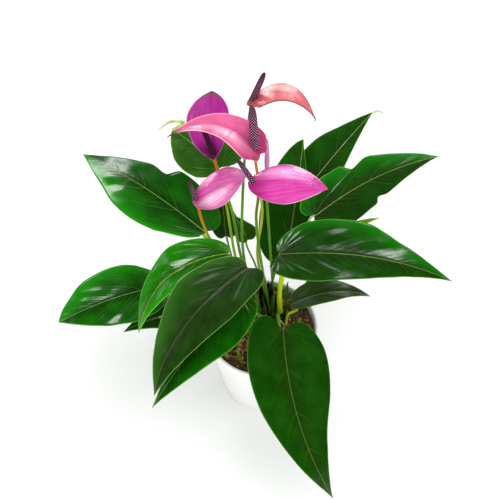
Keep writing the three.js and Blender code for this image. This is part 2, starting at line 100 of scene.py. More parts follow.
# Stems and soil
SOIL_TOP = 100.0
ROOT_DEPTH = 14.0
STRAIGHT_ABOVE_SOIL = 7.0
STALK_RADIUS = 1.6
SEAT_MARGIN = 2.2
STEM_APPROACH = 16.0
STEM_SIDES = 14
PETIOLE_STEPS = 44
STALK_STEPS = 56
FOOT_LENGTH = 13.0
FOOT_SWELL = 0.2
STOUT_FOOT_LENGTH = 30
KNEE_BELOW_TOP = 4
KNEE_LENGTH = 6.5
KNEE_SWELL = 0.26
NECK_LENGTH = 7.0
NECK_SWELL = 0.4
NODE_HEIGHT = 42.0
NODE_LENGTH = 2.0
PETIOLE_SHANK = 0.92
STALK_SHANK = 0.88
WISP_STEPS = 24
WISP_SIDES = 10


def linear(colour: Colour) -> tuple[float, ...]:
    """Gives a display colour of 0 to 255 as a linear colour with an alpha of 1."""
    shares = [value / 255 for value in colour]
    return (*(s / 12.92 if s <= 0.04045 else ((s + 0.055) / 1.055) ** 2.4 for s in shares), 1.0)


def bell(distance: float, width: float) -> float:
    """Gives a smooth bump of height 1 that dies away over the width."""
    return math.exp(-((distance / width) ** 2))


def around(side: Vector, turn: Vector, angle: float) -> Vector:
    """Gives the direction at an angle in radians from side towards turn."""
    return side * math.cos(angle) + turn * math.sin(angle)


@dataclass(frozen=True)
class Signal:
    """A number or colour that varies over a surface, on which plain sums add nodes to its graph."""

    graph: "Graph"
    socket: Socket

    def __add__(self, other: Value) -> "Signal":
        """Adds a number."""
        return self.graph.math("ADD", self, other)

    def __sub__(self, other: Value) -> "Signal":
        """Takes a number away."""
        return self.graph.math("SUBTRACT", self, other)

    def __rsub__(self, other: float) -> "Signal":
        """Takes it away from a number."""
        return self.graph.math("SUBTRACT", other, self)

    def __mul__(self, other: Value) -> "Signal":
        """Multiplies it by a number."""
        return self.graph.math("MULTIPLY", self, other)

    def __pow__(self, power: float) -> "Signal":
        """Raises it to a power."""
        return self.graph.math("POWER", self, power)

    def __abs__(self) -> "Signal":
        """Drops its sign."""
        return self.graph.math("ABSOLUTE", self)

    def clamped(self) -> "Signal":
        """Keeps the sum that gives it between 0 and 1."""
        self.socket.node.use_clamp = True
        return self

    def waves(self, count: float) -> "Signal":
        """Gives that many waves to the unit, between 0 and 0.5."""
        return self.graph.math("PINGPONG", self * count, 0.5)

    def rise(self, low: float, high: float) -> "Signal":
        """Gives 0 up to low and 1 from high on, with a smooth rise between them."""
        return self.graph.node("MapRange", {0: self, 1: low, 2: high}, interpolation_type="SMOOTHSTEP")

    def fall(self, low: float, high: float) -> "Signal":
        """Gives 1 up to low and 0 from high on, with a smooth fall between them."""
        return 1.0 - self.rise(low, high)

    def paint(self, colour: Colour, share: "Signal") -> "Signal":
        """Covers it with a display colour, as far as the share says."""
        return self.graph.mix(share, self, linear(colour))


class Graph:
    """The node tree of one material, with short names for the nodes that this plant needs."""

    def __init__(self, name: str) -> None:
        """Makes the material with a principled shader on its output.

        Args:
            name: Name of the material.
        """
        self.material = bpy.data.materials.new(name)
        self.material.use_nodes = True
        self.tree = self.material.node_tree
        self.tree.nodes.clear()
        output = self.tree.nodes.new("ShaderNodeOutputMaterial")
        self.shader = self.tree.nodes.new("ShaderNodeBsdfPrincipled")
        self.tree.links.new(self.shader.outputs["BSDF"], output.inputs["Surface"])

    def put(self, socket: Socket, value: Value) -> None:
        """Links an input to a signal, or sets its value.

        Args:
            socket: The input.
            value: A signal, number or linear colour.
        """
        if isinstance(value, Signal):
            self.tree.links.new(value.socket, socket)
        else:
            socket.default_value = value

    def node(self, kind: str, inputs: dict[Key, Value], output: Key = 0, **settings: object) -> Signal:
        """Adds a node.

        Args:
            kind: Node type without its leading ShaderNode.
            inputs: Values by input name or number.
            output: Name or number of the output to give.
            settings: Properties of the node.

        Returns:
            The signal at the output.
        """
        made = self.tree.nodes.new(f"ShaderNode{kind}")
        for key, value in settings.items():
            setattr(made, key, value)
        for key, value in inputs.items():
            self.put(made.inputs[key], value)
        return Signal(self, made.outputs[output])

    def math(self, operation: str, a: Value, b: Value = 0.0) -> Signal:
        """Gives the result of one sum on two values."""
        return self.node("Math", {0: a, 1: b}, operation=operation)

    def mix(self, share: Signal, a: Value, b: Value) -> Signal:
        """Gives a colour between the linear colours a and b."""
        return self.node("Mix", {0: share, 6: a, 7: b}, 2, data_type="RGBA")

    def blend(self, share: Signal, a: Colour, b: Colour) -> Signal:
        """Gives a colour between the display colours a and b."""
        return self.mix(share, linear(a), linear(b))

    def uv(self) -> tuple[Signal, Signal]:
        """Gives the shares across and along, from the piece's own UV map."""
        place = self.node("UVMap", {}, uv_map="UVMap")
        return self.node("SeparateXYZ", {0: place}, 0), self.node("SeparateXYZ", {0: place}, 1)

    def attribute(self, name: str) -> Signal:
        """Gives a number that the mesh holds at its vertices."""
        return self.node("Attribute", {}, "Fac", attribute_name=name)

    def noise(self, scale: float, detail: float = 3.0, place: Optional[Signal] = None) -> Signal:
        """Gives cloudy noise from 0 to 1.

        Args:
            scale: Cells to the metre, or to the unit of the place.
            detail: Octaves.
            place: Coordinates, the object's own if left out.

        Returns:
            The noise.
        """
        where = place or self.node("TexCoord", {}, "Object")
        return self.node("TexNoise", {"Vector": where, "Scale": scale, "Detail": detail, "Roughness": 0.55})

    def streaks(self, across: Signal, along: Signal, detail: float) -> Signal:
        """Gives streaks from 0 to 1 over stretched coordinates."""
        return self.noise(1.0, detail, self.node("CombineXYZ", {0: across, 1: along})).rise(0.35, 0.7)

    def cells(self, scale: float, feature: str) -> Signal:
        """Gives the distance in a pattern of cells on the object's coordinates."""
        where = self.node("TexCoord", {}, "Object")
        return self.node("TexVoronoi", {"Vector": where, "Scale": scale}, "Distance", feature=feature)

    def finish(self, relief: Optional[Signal] = None, depth: float = 0.0, **sockets: Value) -> Material:
        """Sets the shader's sockets.

        Args:
            relief: Height pattern of the surface.
            depth: Distance in metres over which it raises the surface.
            sockets: Values by socket name, with underscores.

        Returns:
            The finished material.
        """
        if relief:
            self.put(self.shader.inputs["Normal"], self.node("Bump", {"Height": relief, "Distance": depth}))
        for key, value in sockets.items():
            self.put(self.shader.inputs[key.replace("_", " ").title().replace("Ior", "IOR")], value)
        return self.material


@dataclass(frozen=True)
class LeafFinish:
    """Waxy green leaf with sunken pale veins.

    Its clouds run from deep to light, with glow near a lit margin, shade along the midrib and end at the
    drying tip. Gloss is its roughness, veining how strongly the side veins show, and shine how strongly
    it mirrors.
    """

    name: str
    deep: Colour
    light: Colour
    glow: Colour = (16, 124, 10)
    shade: Colour = (6, 46, 2)
    vein: Colour = (112, 160, 62)
    rim: Colour = (120, 190, 50)
    end: Colour = (60, 120, 20)
    gloss: float = 0.17
    veining: float = 0.13
    shine: float = 0.3
    cloud_scale: float = 55.0
    net_scale: float = 520.0
    speck_scale: float = 120.0
    grain_scale: float = 620.0

    def pattern(self, graph: Graph) -> tuple[Signal, Signal, Signal]:
        """Draws the veins.

        Args:
            graph: Tree to draw in.

        Returns:
            The midrib, the side veins and the fine veins between them, each from 0 to 1.
        """
        across, along = graph.uv()
        fade = 1.0 - abs(across * 2.0 - 1.0) ** 1.6
        side = graph.attribute("vein").fall(0.12, 0.62) * fade
        fine = along.waves(SIDE_VEINS * 4).fall(0.05, 0.3) * fade
        return graph.attribute("rib").fall(0.25, 0.8), side, fine

    def material(self) -> Material:
        """Makes the upper face's material."""
        graph = Graph(self.name)
        midrib, side, fine = self.pattern(graph)
        glow = graph.attribute("glow")
        cloud = graph.noise(self.cloud_scale, 5.0).rise(0.25, 0.8)
        colour = graph.blend(cloud, self.deep, self.light)
        # painted light: brighter green towards the margin that is lit
        colour = colour.paint(self.glow, (glow + cloud * 0.12).rise(0.05, 1.0))
        inner = (graph.attribute("rib").fall(1.0, 16.0) * (0.85 - glow)).clamped()
        colour = colour.paint(self.shade, inner)
        net = graph.cells(self.net_scale, "DISTANCE_TO_EDGE").fall(0.0, 0.14)
        for veins, strength in ((net, 0.05), (fine, 0.03), (side, self.veining), (midrib, 0.9)):
            colour = colour.paint(self.vein, veins * strength)
        # painted rim light: a pale line along the margin, stronger where the margin is painted lit
        colour = colour.paint(self.rim, graph.attribute("rim").fall(0.3, 1.2) * (glow * 0.6 + 0.2))
        colour = colour.paint(self.end, graph.attribute("along").rise(0.975, 1.0))
        colour = colour.paint(self.rim, graph.cells(self.speck_scale, "F1").fall(0.02, 0.05) * 0.3)
        rough = graph.noise(150.0) * 0.14 + side * 0.1 + (self.gloss - 0.05)
        sunk = side * -0.18 + fine * -0.3 + midrib * -1.0 + graph.noise(self.grain_scale, 2.0) * 0.5
        return graph.finish(sunk, 0.00014, base_color=colour, roughness=rough, specular_ior_level=self.shine)

    def underside(self) -> Material:
        """Makes the paler, duller material of the lower face."""
        graph = Graph(f"{self.name}_underside")
        midrib, side, _ = self.pattern(graph)
        pale = tuple(int(0.6 * a + 0.4 * b) for a, b in zip(self.glow, self.vein))
        colour = graph.blend(graph.noise(70.0), pale, self.light)
        colour = colour.paint(self.vein, side * 0.5).paint(self.vein, midrib * 0.9)
        relief = side + midrib + graph.noise(700.0, 2.0)
        return graph.finish(relief, 0.0002, base_color=colour, roughness=0.5, specular_ior_level=0.3)


class Green(Enum):
    """The greens of this plant's leaves, from the darkest to the youngest."""

    OLIVE = LeafFinish("leaf_olive", (13, 40, 3), (26, 62, 8), (40, 92, 16), (24, 40, 8), (70, 104, 40),
                       (164, 204, 104), (96, 84, 30), gloss=0.3, shine=0.14)
    SATIN = LeafFinish("leaf_satin", (20, 44, 6), (38, 68, 16), (66, 106, 34), (22, 42, 8), (96, 130, 56),
                       (140, 166, 80), gloss=0.3, shine=0.3)
    DEEP = LeafFinish("leaf_deep", (10, 52, 1), (20, 72, 2), (10, 98, 1), (24, 50, 3), (76, 124, 40))
    DARK = LeafFinish("leaf_dark", (7, 44, 1), (15, 62, 2), (12, 106, 3), (26, 42, 12), (90, 146, 46),
                      veining=0.08)
    MID = LeafFinish("leaf_mid", (5, 58, 1), (12, 88, 2), (18, 128, 3), (6, 40, 1), (100, 150, 50),
                     shine=0.24)
    BRIGHT = LeafFinish("leaf_bright", (5, 84, 1), (12, 108, 2), (26, 140, 3), (7, 70, 1), (136, 190, 20))
    SOFT = LeafFinish("leaf_soft", (16, 64, 2), (36, 88, 12), (74, 122, 28), (26, 66, 6), (92, 140, 42),
                      end=(190, 206, 130), gloss=0.24, veining=0.1)
    YOUNG = LeafFinish("leaf_young", (120, 166, 10), (146, 190, 24), (166, 200, 34), (120, 166, 10),
                       (176, 204, 60), gloss=0.35)


@dataclass(frozen=True)
class SpatheFinish:
    """Waxy spathe: heart round the spadix, body with pale streaks that are partly fine veins and partly painted
    highlight, rim at the margin, back below.

    The edge is how far the rim's colour reaches in millimetres, and field says which half carries a painted
    highlight in the pale colour, -1 for the left and 1 for the right.
    """

    name: str
    heart: Colour
    body: Colour
    pale: Colour
    tip: Colour
    rim: Colour
    back: Colour
    edge: float = 1.2
    field: float = 0.0
    veins: float = 11.0

    def material(self) -> Material:
        """Makes the upper face's material."""
        graph = Graph(self.name)
        across, row = graph.uv()
        along = graph.attribute("along")
        streak = graph.streaks(across * 26.0, along * 2.2, 3.0)
        # painted highlight: a pale band on the half that field picks, broken a little by the streaks and gone
        # towards the tip
        band = abs((across - 0.5) * (2 * self.field) - 0.45).rise(0.5, 0.0)
        painted_highlight = band * along.fall(0.45, 0.85) * streak.rise(-1.0, 0.8)
        vein = row.waves(self.veins).fall(0.02, 0.12)
        # painted shade along the middle crease
        crease = abs(across * 2.0 - 1.0).fall(0.0, 0.05)
        colour = graph.blend(painted_highlight, self.body, self.pale)
        # pale streaks: partly fine veins, partly painted highlight
        for over, share in (
            (self.heart, graph.noise(70.0, 4.0).rise(0.35, 0.75) * 0.3), (self.pale, streak * 0.16),
            (self.heart, along.fall(0.02, 0.34) * 0.8), (self.tip, along.rise(0.9, 1.0)),
            (self.heart, vein * 0.06), (self.heart, crease * 0.35),
        ):
            colour = colour.paint(over, share)
        edge = (graph.attribute("rim").fall(0.15, self.edge) * (0.8 - along.rise(0.84, 0.97))).clamped()
        colour = colour.paint(self.rim, edge)
        relief = vein * -0.5 + streak * 0.8 + graph.noise(500.0, 2.0) * 0.5
        return graph.finish(
            relief, 0.00012, base_color=colour, roughness=graph.noise(120.0) * 0.1 + 0.12,
            specular_ior_level=0.7, subsurface_weight=0.08, subsurface_scale=0.0012,
        )

    def underside(self) -> Material:
        """Makes the lower face's material."""
        graph = Graph(f"{self.name}_back")
        vein = graph.uv()[1].waves(self.veins).fall(0.03, 0.2)
        colour = graph.blend(graph.noise(60.0).rise(0.3, 0.7), self.back, self.body)
        colour = colour.paint(self.heart, vein * 0.3)
        relief = vein + graph.noise(600.0, 2.0)
        return graph.finish(relief, 0.00015, base_color=colour, roughness=0.38, specular_ior_level=0.3)


class Spathe(Enum):
    """The colours of the five open blooms and the young one."""

    SALMON = SpatheFinish("spathe_salmon", (170, 40, 58), (206, 98, 104), (246, 188, 182), (60, 22, 40),
                          (112, 44, 60), (136, 74, 92), 1.8, -1.0)
    PINK = SpatheFinish("spathe_pink", (164, 26, 88), (214, 92, 144), (250, 168, 196), (84, 22, 62),
                        (244, 190, 184), (190, 78, 112), 0.9, -1.0)
    PURPLE = SpatheFinish("spathe_purple", (74, 2, 50), (190, 44, 160), (222, 122, 204), (130, 84, 104),
                          (206, 112, 176), (150, 30, 116), 0.9)
    MAUVE = SpatheFinish("spathe_mauve", (136, 14, 90), (210, 80, 162), (252, 212, 236), (130, 20, 100),
                         (248, 196, 214), (180, 70, 130), 0.9, 1.0)
    MAGENTA = SpatheFinish("spathe_magenta", (146, 8, 94), (198, 50, 150), (246, 164, 216), (196, 50, 130),
                           (250, 214, 228), (170, 50, 120), 0.9, -1.0)
    LILAC = SpatheFinish("spathe_lilac", (160, 84, 140), (200, 140, 192), (224, 190, 220), (150, 110, 120),
                         (230, 206, 224), (190, 128, 180))


@dataclass(frozen=True)
class StemFinish:
    """Smooth stem that changes colour from its foot over its middle to its top, with dark flecks."""

    name: str
    foot: Colour
    middle: Colour
    top: Colour
    fleck: tuple[float, ...] = (0.02, 0.03, 0.01, 1.0)

    def material(self) -> Material:
        """Makes the material."""
        graph = Graph(self.name)
        across, along = graph.uv()
        colour = graph.blend(along.rise(0.05, 0.5), self.foot, self.middle)
        colour = colour.paint(self.top, along.rise(0.6, 0.98))
        streak = graph.streaks(across * 14.0, along * 5.0, 4.0)
        colour = colour.paint(self.foot, streak * 0.35)
        colour = graph.mix(graph.noise(380.0, 2.0).rise(0.62, 0.72) * 0.3, colour, self.fleck)
        relief = streak + graph.noise(500.0, 2.0)
        return graph.finish(relief, 0.00012, base_color=colour, roughness=0.36, specular_ior_level=0.2)


class Stem(Enum):
    """The colours of petioles and flower stalks."""

    GREEN = StemFinish("petiole_green", (44, 76, 14), (94, 158, 14), (140, 190, 20))
    YELLOW = StemFinish("petiole_yellow", (216, 240, 44), (190, 222, 30), (196, 214, 36))
    DARK = StemFinish("petiole_dark", (34, 60, 14), (60, 112, 16), (90, 136, 26))
    STALK_OLIVE = StemFinish("stalk_olive", (70, 104, 20), (96, 152, 16), (118, 104, 40))
    STALK_ORANGE = StemFinish("stalk_orange", (84, 116, 18), (140, 184, 16), (220, 104, 26))
    STALK_GOLD = StemFinish("stalk_gold", (104, 130, 20), (184, 196, 22), (206, 112, 32))


@dataclass(frozen=True)
class SpadixFinish:
    """Dark purple florets in a darker net, with pale stigmas, most of them low down."""

    name: str
    speckle: float
    dome: Colour = (54, 14, 44)
    net: Colour = (12, 2, 14)
    dot: Colour = (240, 180, 208)

    def material(self) -> Material:
        """Makes the material."""
        graph = Graph(self.name)
        height = graph.attribute("floret")
        colour = graph.blend(height.rise(0.2, 0.6), self.net, self.dome)
        ripe = graph.uv()[1].fall(0.55, 1.0) * (self.speckle * 0.7) + self.speckle * 0.5
        colour = colour.paint(self.dot, (height.rise(0.8, 0.9) * ripe).clamped())
        relief = graph.noise(1500.0, 2.0)
        return graph.finish(relief, 0.0001, base_color=colour, roughness=0.6, specular_ior_level=0.0)


@dataclass(frozen=True)
class SpeckledFinish:
    """Cloudy, rough material for the bits of the soil, dry sheaths and roots."""

    name: str
    dark: Colour
    light: Colour
    grain: float = 220.0
    roughness: float = 0.9

    def material(self) -> Material:
        """Makes the material."""
        graph = Graph(self.name)
        colour = graph.blend(graph.noise(self.grain, 4.0).rise(0.35, 0.68), self.dark, self.light)
        colour = colour.paint(self.dark, graph.noise(self.grain * 4, 4.0).rise(0.45, 0.7) * 0.4)
        relief = graph.noise(self.grain * 5, 4.0)
        return graph.finish(relief, 0.0006, base_color=colour, roughness=self.roughness)


@dataclass(frozen=True)
class PotFinish:
    """White satin pot with a faint cast texture."""

    name: str = "pot_white"
    shade: Colour = (248, 248, 246)
    light: Colour = (252, 252, 251)

    def material(self) -> Material:
        """Makes the material."""
        graph = Graph(self.name)
        colour = graph.blend(graph.noise(30.0, 4.0), self.shade, self.light)
        relief = graph.noise(500.0) + graph.noise(60.0)
        return graph.finish(relief, 0.00012, base_color=colour, roughness=graph.noise(90.0) * 0.15 + 0.3)


class Palette:
    """Makes each material once."""

    def __init__(self) -> None:
        """Starts with no materials."""
        self.made: dict[tuple[str, bool], Material] = {}

    def get(self, finish: Finish, lower: bool = False) -> Material:
        """Gives a finish's material, made on its first use.

        Args:
            finish: The finish.
            lower: Whether the material of the lower face is wanted.

        Returns:
            The material.
        """
        key = (finish.name, lower)
        if key not in self.made:
            self.made[key] = finish.underside() if lower else finish.material()
        return self.made[key]


PALETTE = Palette()


def bent_grid(rows: int, columns: int, place: Callable[[float, float], Vector],
              measures: Optional[dict[str, Callable[[float, float], float]]] = None,
              closed: bool = False) -> Mesh:
    """Bends a grid of faces into shape.

    Args:
        rows: Faces along the piece.
        columns: Faces across or round it.
        place: Gives the point in millimetres for the shares across and along.
        measures: Numbers to keep at the vertices, by attribute name.
        closed: Whether it closes into a body, whose faces then point outwards.

    Returns:
        The bent mesh, in metres, with the shares as its UV map.
    """
    mesh = bmesh.new()
    mesh.loops.layers.uv.new("UVMap")
    layers = {name: mesh.verts.layers.float.new(name) for name in (measures or {})}
    bmesh.ops.create_grid(mesh, x_segments=columns, y_segments=rows, size=0.5, calc_uvs=True)
    for vertex in mesh.verts:
        across, along = vertex.co.x + 0.5, vertex.co.y + 0.5
        for name, measure in (measures or {}).items():
            vertex[layers[name]] = measure(across, along)
        vertex.co = place(across, along) * MM
    bmesh.ops.remove_doubles(mesh, verts=mesh.verts, dist=WELD * MM)
    if closed:
        bmesh.ops.recalc_face_normals(mesh, faces=mesh.faces)
    return mesh


def make_piece(name: str, mesh: Mesh, materials: Iterable[Material],
               nodes: Iterable[str] = ()) -> bpy.types.Object:
    """Turns a mesh into a finished piece of the plant.

    Args:
        name: Name of the piece.
        mesh: Its mesh, in metres.
        materials: Its materials, upper face first.
        nodes: The frame's nodes that it stands for.

    Returns:
        The piece, riding on the part's one body.
    """
    data = bpy.data.meshes.new(name)
    mesh.to_mesh(data)
    mesh.free()
    data.shade_smooth()
    for material in materials:
        data.materials.append(material)
    piece = bpy.data.objects.new(name, data)
    bpy.context.scene.collection.objects.link(piece)
    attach(piece, BODY)
    if nodes:
        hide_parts(*nodes)
    LOG.info("%s: %d faces", name, len(data.polygons))
    return piece


def replace_node(node: str, mesh: Mesh, slot: str, *materials: Material) -> bpy.types.Object:
    """Makes the piece that stands for one node of the frame."""
    return make_piece(f"{node}_look", mesh, materials, [node])


def give_thickness(piece: bpy.types.Object, thickness: float, back: int = 0) -> None:
    """Gives a sheet its thickness below its upper face.

    Args:
        piece: The sheet.
        thickness: Thickness in millimetres.
        back: Material number of the lower face.
    """
    wall = piece.modifiers.new("thickness", "SOLIDIFY")
    wall.thickness = thickness * MM
    wall.offset = -1.0
    wall.use_even_offset = False
    wall.material_offset = back
    wall.material_offset_rim = 0


def cubic(p1: Place, p2: Place, leave: Place, arrive: Place, w: float) -> Place:
    """Gives a place on the cubic curve between two places.

    Args:
        p1: The first place.
        p2: The second place.
        leave: Slope at the first one.
        arrive: Slope at the second one.
        w: Share of the way between them.

    Returns:
        The place.
    """
    bend = (2 * p1 - 2 * p2 + leave + arrive) * w ** 3
    return bend + (-3 * p1 + 3 * p2 - 2 * leave - arrive) * w ** 2 + leave * w + p1


def outline_point(outline: Sequence[Pair], share: float) -> Pair:
    """Gives a point of the smooth curve through an outline's points.

    Args:
        outline: The points.
        share: Share of the way through them, 0 to 1.

    Returns:
        The place along the midrib and the distance from it.
    """
    last = len(outline) - 1
    position = min(max(share, 0.0), 1.0) * last
    index = min(int(position), last - 1)
    near = [outline[min(max(index + shift, 0), last)] for shift in (-1, 0, 1, 2)]
    x, y = (
        cubic(p1, p2, 0.5 * (p2 - p0), 0.5 * (p3 - p1), position - index)
        for p0, p1, p2, p3 in zip(*near)
    )
    return x, y


@dataclass
class Blade:
    """The surface of a leaf or spathe: a midrib curve with a cross profile on each side of it.

    Pairs give the left and the right half, looking out from the junction to the tip.

    Attributes:
        junction: Where the stem joins.
        tip: The tip.
        widths: Half widths.
        arch: Rise of the midrib's middle.
        bend: Sideways bend of the midrib.
        roll: Turn about the midrib in degrees, which lowers the right half.
        hook: Drop of the tip.
        wave: Height of the margin's waves.
        fold: Tilt of each half in degrees.
        curl: More tilt towards the margin, in degrees.
        lobes: 1 for full basal lobes, 0 for a straight base, less for a wedge.
        belly: Moves the widest place towards the tip.
        notches: Place, width and depth of a notch in each margin.
        outline: Half outline of unit size.
        quilt: Height of the swellings between the side veins.
        groove: Depth of the midrib's groove.
        crumple: Height of the surface's unevenness.
        glow: How strongly each half is painted lit towards its margin, 0 to 1.
    """

    junction: Triple
    tip: Triple
    widths: Pair
    arch: float = 0.0
    bend: float = 0.0
    roll: float = 0.0
    hook: float = 0.0
    wave: float = 0.0
    fold: Pair = (0.0, 0.0)
    curl: Pair = (0.0, 0.0)
    lobes: Pair = (1.0, 1.0)
    belly: Pair = (0.0, 0.0)
    notches: tuple[Optional[Triple], Optional[Triple]] = (None, None)
    outline: Sequence[Pair] = LEAF_OUTLINE
    quilt: float = 0.7
    groove: float = 0.7
    crumple: float = 0.9
    glow: Pair = (0.3, 0.3)
    length: float = field(init=False)

    def __post_init__(self) -> None:
        """Works out the axes and the midrib's middle point."""
        self.start, self.end = Vector(self.junction), Vector(self.tip)
        self.length = (self.end - self.start).length
        along = (self.end - self.start).normalized()
        level = along.cross(UP).normalized()
        self.across = Matrix.Rotation(math.radians(self.roll), 3, along) @ level
        self.up = self.across.cross(along)
        self.middle = (self.start + self.end) / 2 + self.up * 2 * self.arch + self.across * 2 * self.bend

    def station(self, share: float) -> tuple[Vector, Vector, Vector, Vector]:
        """Gives the midrib's frame at a share of its length.

        Args:
            share: The share, below 0 behind the junction.

        Returns:
            The point, tangent, normal and side.
        """
        inside = min(max(share, 0.0), 1.0)
        rest = 1 - inside
        point = self.start * rest * rest + self.middle * 2 * rest * inside + self.end * inside * inside
        tangent = ((self.middle - self.start) * rest + (self.end - self.middle) * inside).normalized()
        point = point - self.up * self.hook * max(0.0, (inside - HOOK_START) / (1 - HOOK_START)) ** 2
        point = point + tangent * min(share, 0.0) * self.length
        normal = (self.up - tangent * self.up.dot(tangent)).normalized()
        return point, tangent, normal, tangent.cross(normal)

    def span(self, along: float, half: int) -> tuple[float, float, float]:
        """Follows one row of the surface from the midrib to the margin.

        Args:
            along: Share along the outline.
            half: 0 for the left half, 1 for the right one.

        Returns:
            Its place on the midrib, its place at the margin and its share of the half width.
        """
        x, y = outline_point(self.outline, SINUS_END + (1 - SINUS_END) * along)
        share = max(y, 0.0)
        root = max(0.0, x - VEIN_SWEEP * share)
        margin = x + self.belly[half] * max(x, 0.0) * (1 - x)
        margin += (1 - self.lobes[half]) * LOBE_SLOPE * share * (1 - x) ** 2
        if self.notches[half]:
            place, width, depth = self.notches[half]
            share *= 1 - depth * bell(margin - place, width if margin > place else NOTCH_STEEPNESS * width)
        return root, margin, share

    def row(self, across: float, along: float) -> tuple[int, float, float, float]:
        """Finds a grid point on its row.

        Args:
            across: Share across the blade.
            along: Share along it.

        Returns:
            The half, the share from midrib to margin, and the place and reach of the point.
        """
        half = int(across >= 0.5)
        s = abs(2 * across - 1)
        root, margin, share = self.span(along, half)
        return half, s, root + (margin - root) * s ** VEIN_CURVE, share * s

    def relief(self, along: float, s: float, width: float) -> float:
        """Gives the height of the swellings between the veins and of the midrib's groove.

        Args:
            along: Share along the blade.
            s: Share from midrib to margin.
            width: Distance from the midrib.

        Returns:
            The height in millimetres.
        """
        to_vein = abs((along * SIDE_VEINS) % 1.0 - 0.5) * 2
        swelling = self.quilt * math.cos(0.5 * math.pi * to_vein) ** 2 * 4 * s * (1 - s)
        swelling *= min(1.0, width / QUILT_FULL_WIDTH) * min(1.0, 0.2 + 2 * along)
        return swelling - self.groove * bell(width, GROOVE_WIDTH) * (1 - along) ** 0.5

    def point(self, across: float, along: float) -> Vector:
        """Gives a point of the surface.

        Args:
            across: Share across the blade.
            along: Share along it.

        Returns:
            The point in millimetres.
        """
        half, s, place, reach = self.row(across, along)
        point, _, normal, side = self.station(place)
        tilt = math.radians(self.fold[half] + self.curl[half] * reach)
        width = self.widths[half] * reach
        outwards = 2 * half - 1
        ripple = math.sin(2 * math.pi * (WAVES * max(place, 0.0) + WAVE_SHIFT * half))
        lift = width * math.sin(tilt) + self.wave * reach * reach * ripple
        lift += self.relief(along, s, width)
        spot = Vector((place * self.length / CRUMPLE_CELL, outwards * width / CRUMPLE_CELL, self.length))
        lift += self.crumple * noise.noise(spot) * min(1.0, width / CRUMPLE_FULL_WIDTH)
        return point + side * outwards * width * math.cos(tilt) + normal * lift

    def from_vein(self, across: float, along: float) -> float:
        """Gives the distance from the nearest side vein.

        Args:
            across: Share across the blade.
            along: Share along it.

        Returns:
            The distance in millimetres.
        """
        low, high = max(along - VEIN_PROBE, 0.0), min(along + VEIN_PROBE, 1.0)
        step = self.point(across, high) - self.point(across, low)
        inner = across + (ROW_PROBE if across < 0.5 else -ROW_PROBE)
        row = (self.point(inner, along) - self.point(across, along)).normalized()
        pace = (step - row * step.dot(row)).length / (high - low)
        return abs((along * SIDE_VEINS + 0.5) % 1.0 - 0.5) / SIDE_VEINS * pace

    def from_midrib(self, across: float, along: float) -> float:
        """Gives the distance from the midrib in millimetres, more where it is thin."""
        half, _, place, reach = self.row(across, along)
        return math.hypot(self.widths[half] * reach, min(place, 0.0) * self.length) * (1 + 0.8 * along)

    def from_margin(self, across: float, along: float) -> float:
        """Gives the distance from the margin along the side vein.

        Args:
            across: Share across the blade.
            along: Share along it.

        Returns:
            The distance in millimetres.
        """
        half, s, _, _ = self.row(across, along)
        root, margin, share = self.span(along, half)
        return math.hypot(self.widths[half] * share, (margin - root) * self.length) * (1 - s)

    def lit(self, across: float, along: float) -> float:
        """Gives the painted light towards the margin, from 0 to 1."""
        return self.glow[int(across >= 0.5)] * math.exp(-self.from_margin(across, along) / GLOW_REACH)

    def place_along(self, across: float, along: float) -> float:
        """Gives the place along the midrib, from 0 to 1."""
        return max(0.0, self.row(across, along)[2])

    def mesh(self, rows: int, columns: int) -> Mesh:
        """Makes the upper face as a sheet.

        Args:
            rows: Faces along it.
            columns: Faces across it.

        Returns:
            The sheet, with the distances that its material reads.
        """
        measures = {
            "rib": self.from_midrib, "rim": self.from_margin, "vein": self.from_vein, "glow": self.lit,
            "along": self.place_along,
        }
        return bent_grid(rows, columns, self.point, measures)

    def seat(self, radius: float) -> tuple[Vector, Vector]:
        """Gives the point and normal just ahead of the junction, where a stem of that radius ends."""
        point, _, normal, _ = self.station((radius + SEAT_MARGIN) / self.length)
        return point, normal


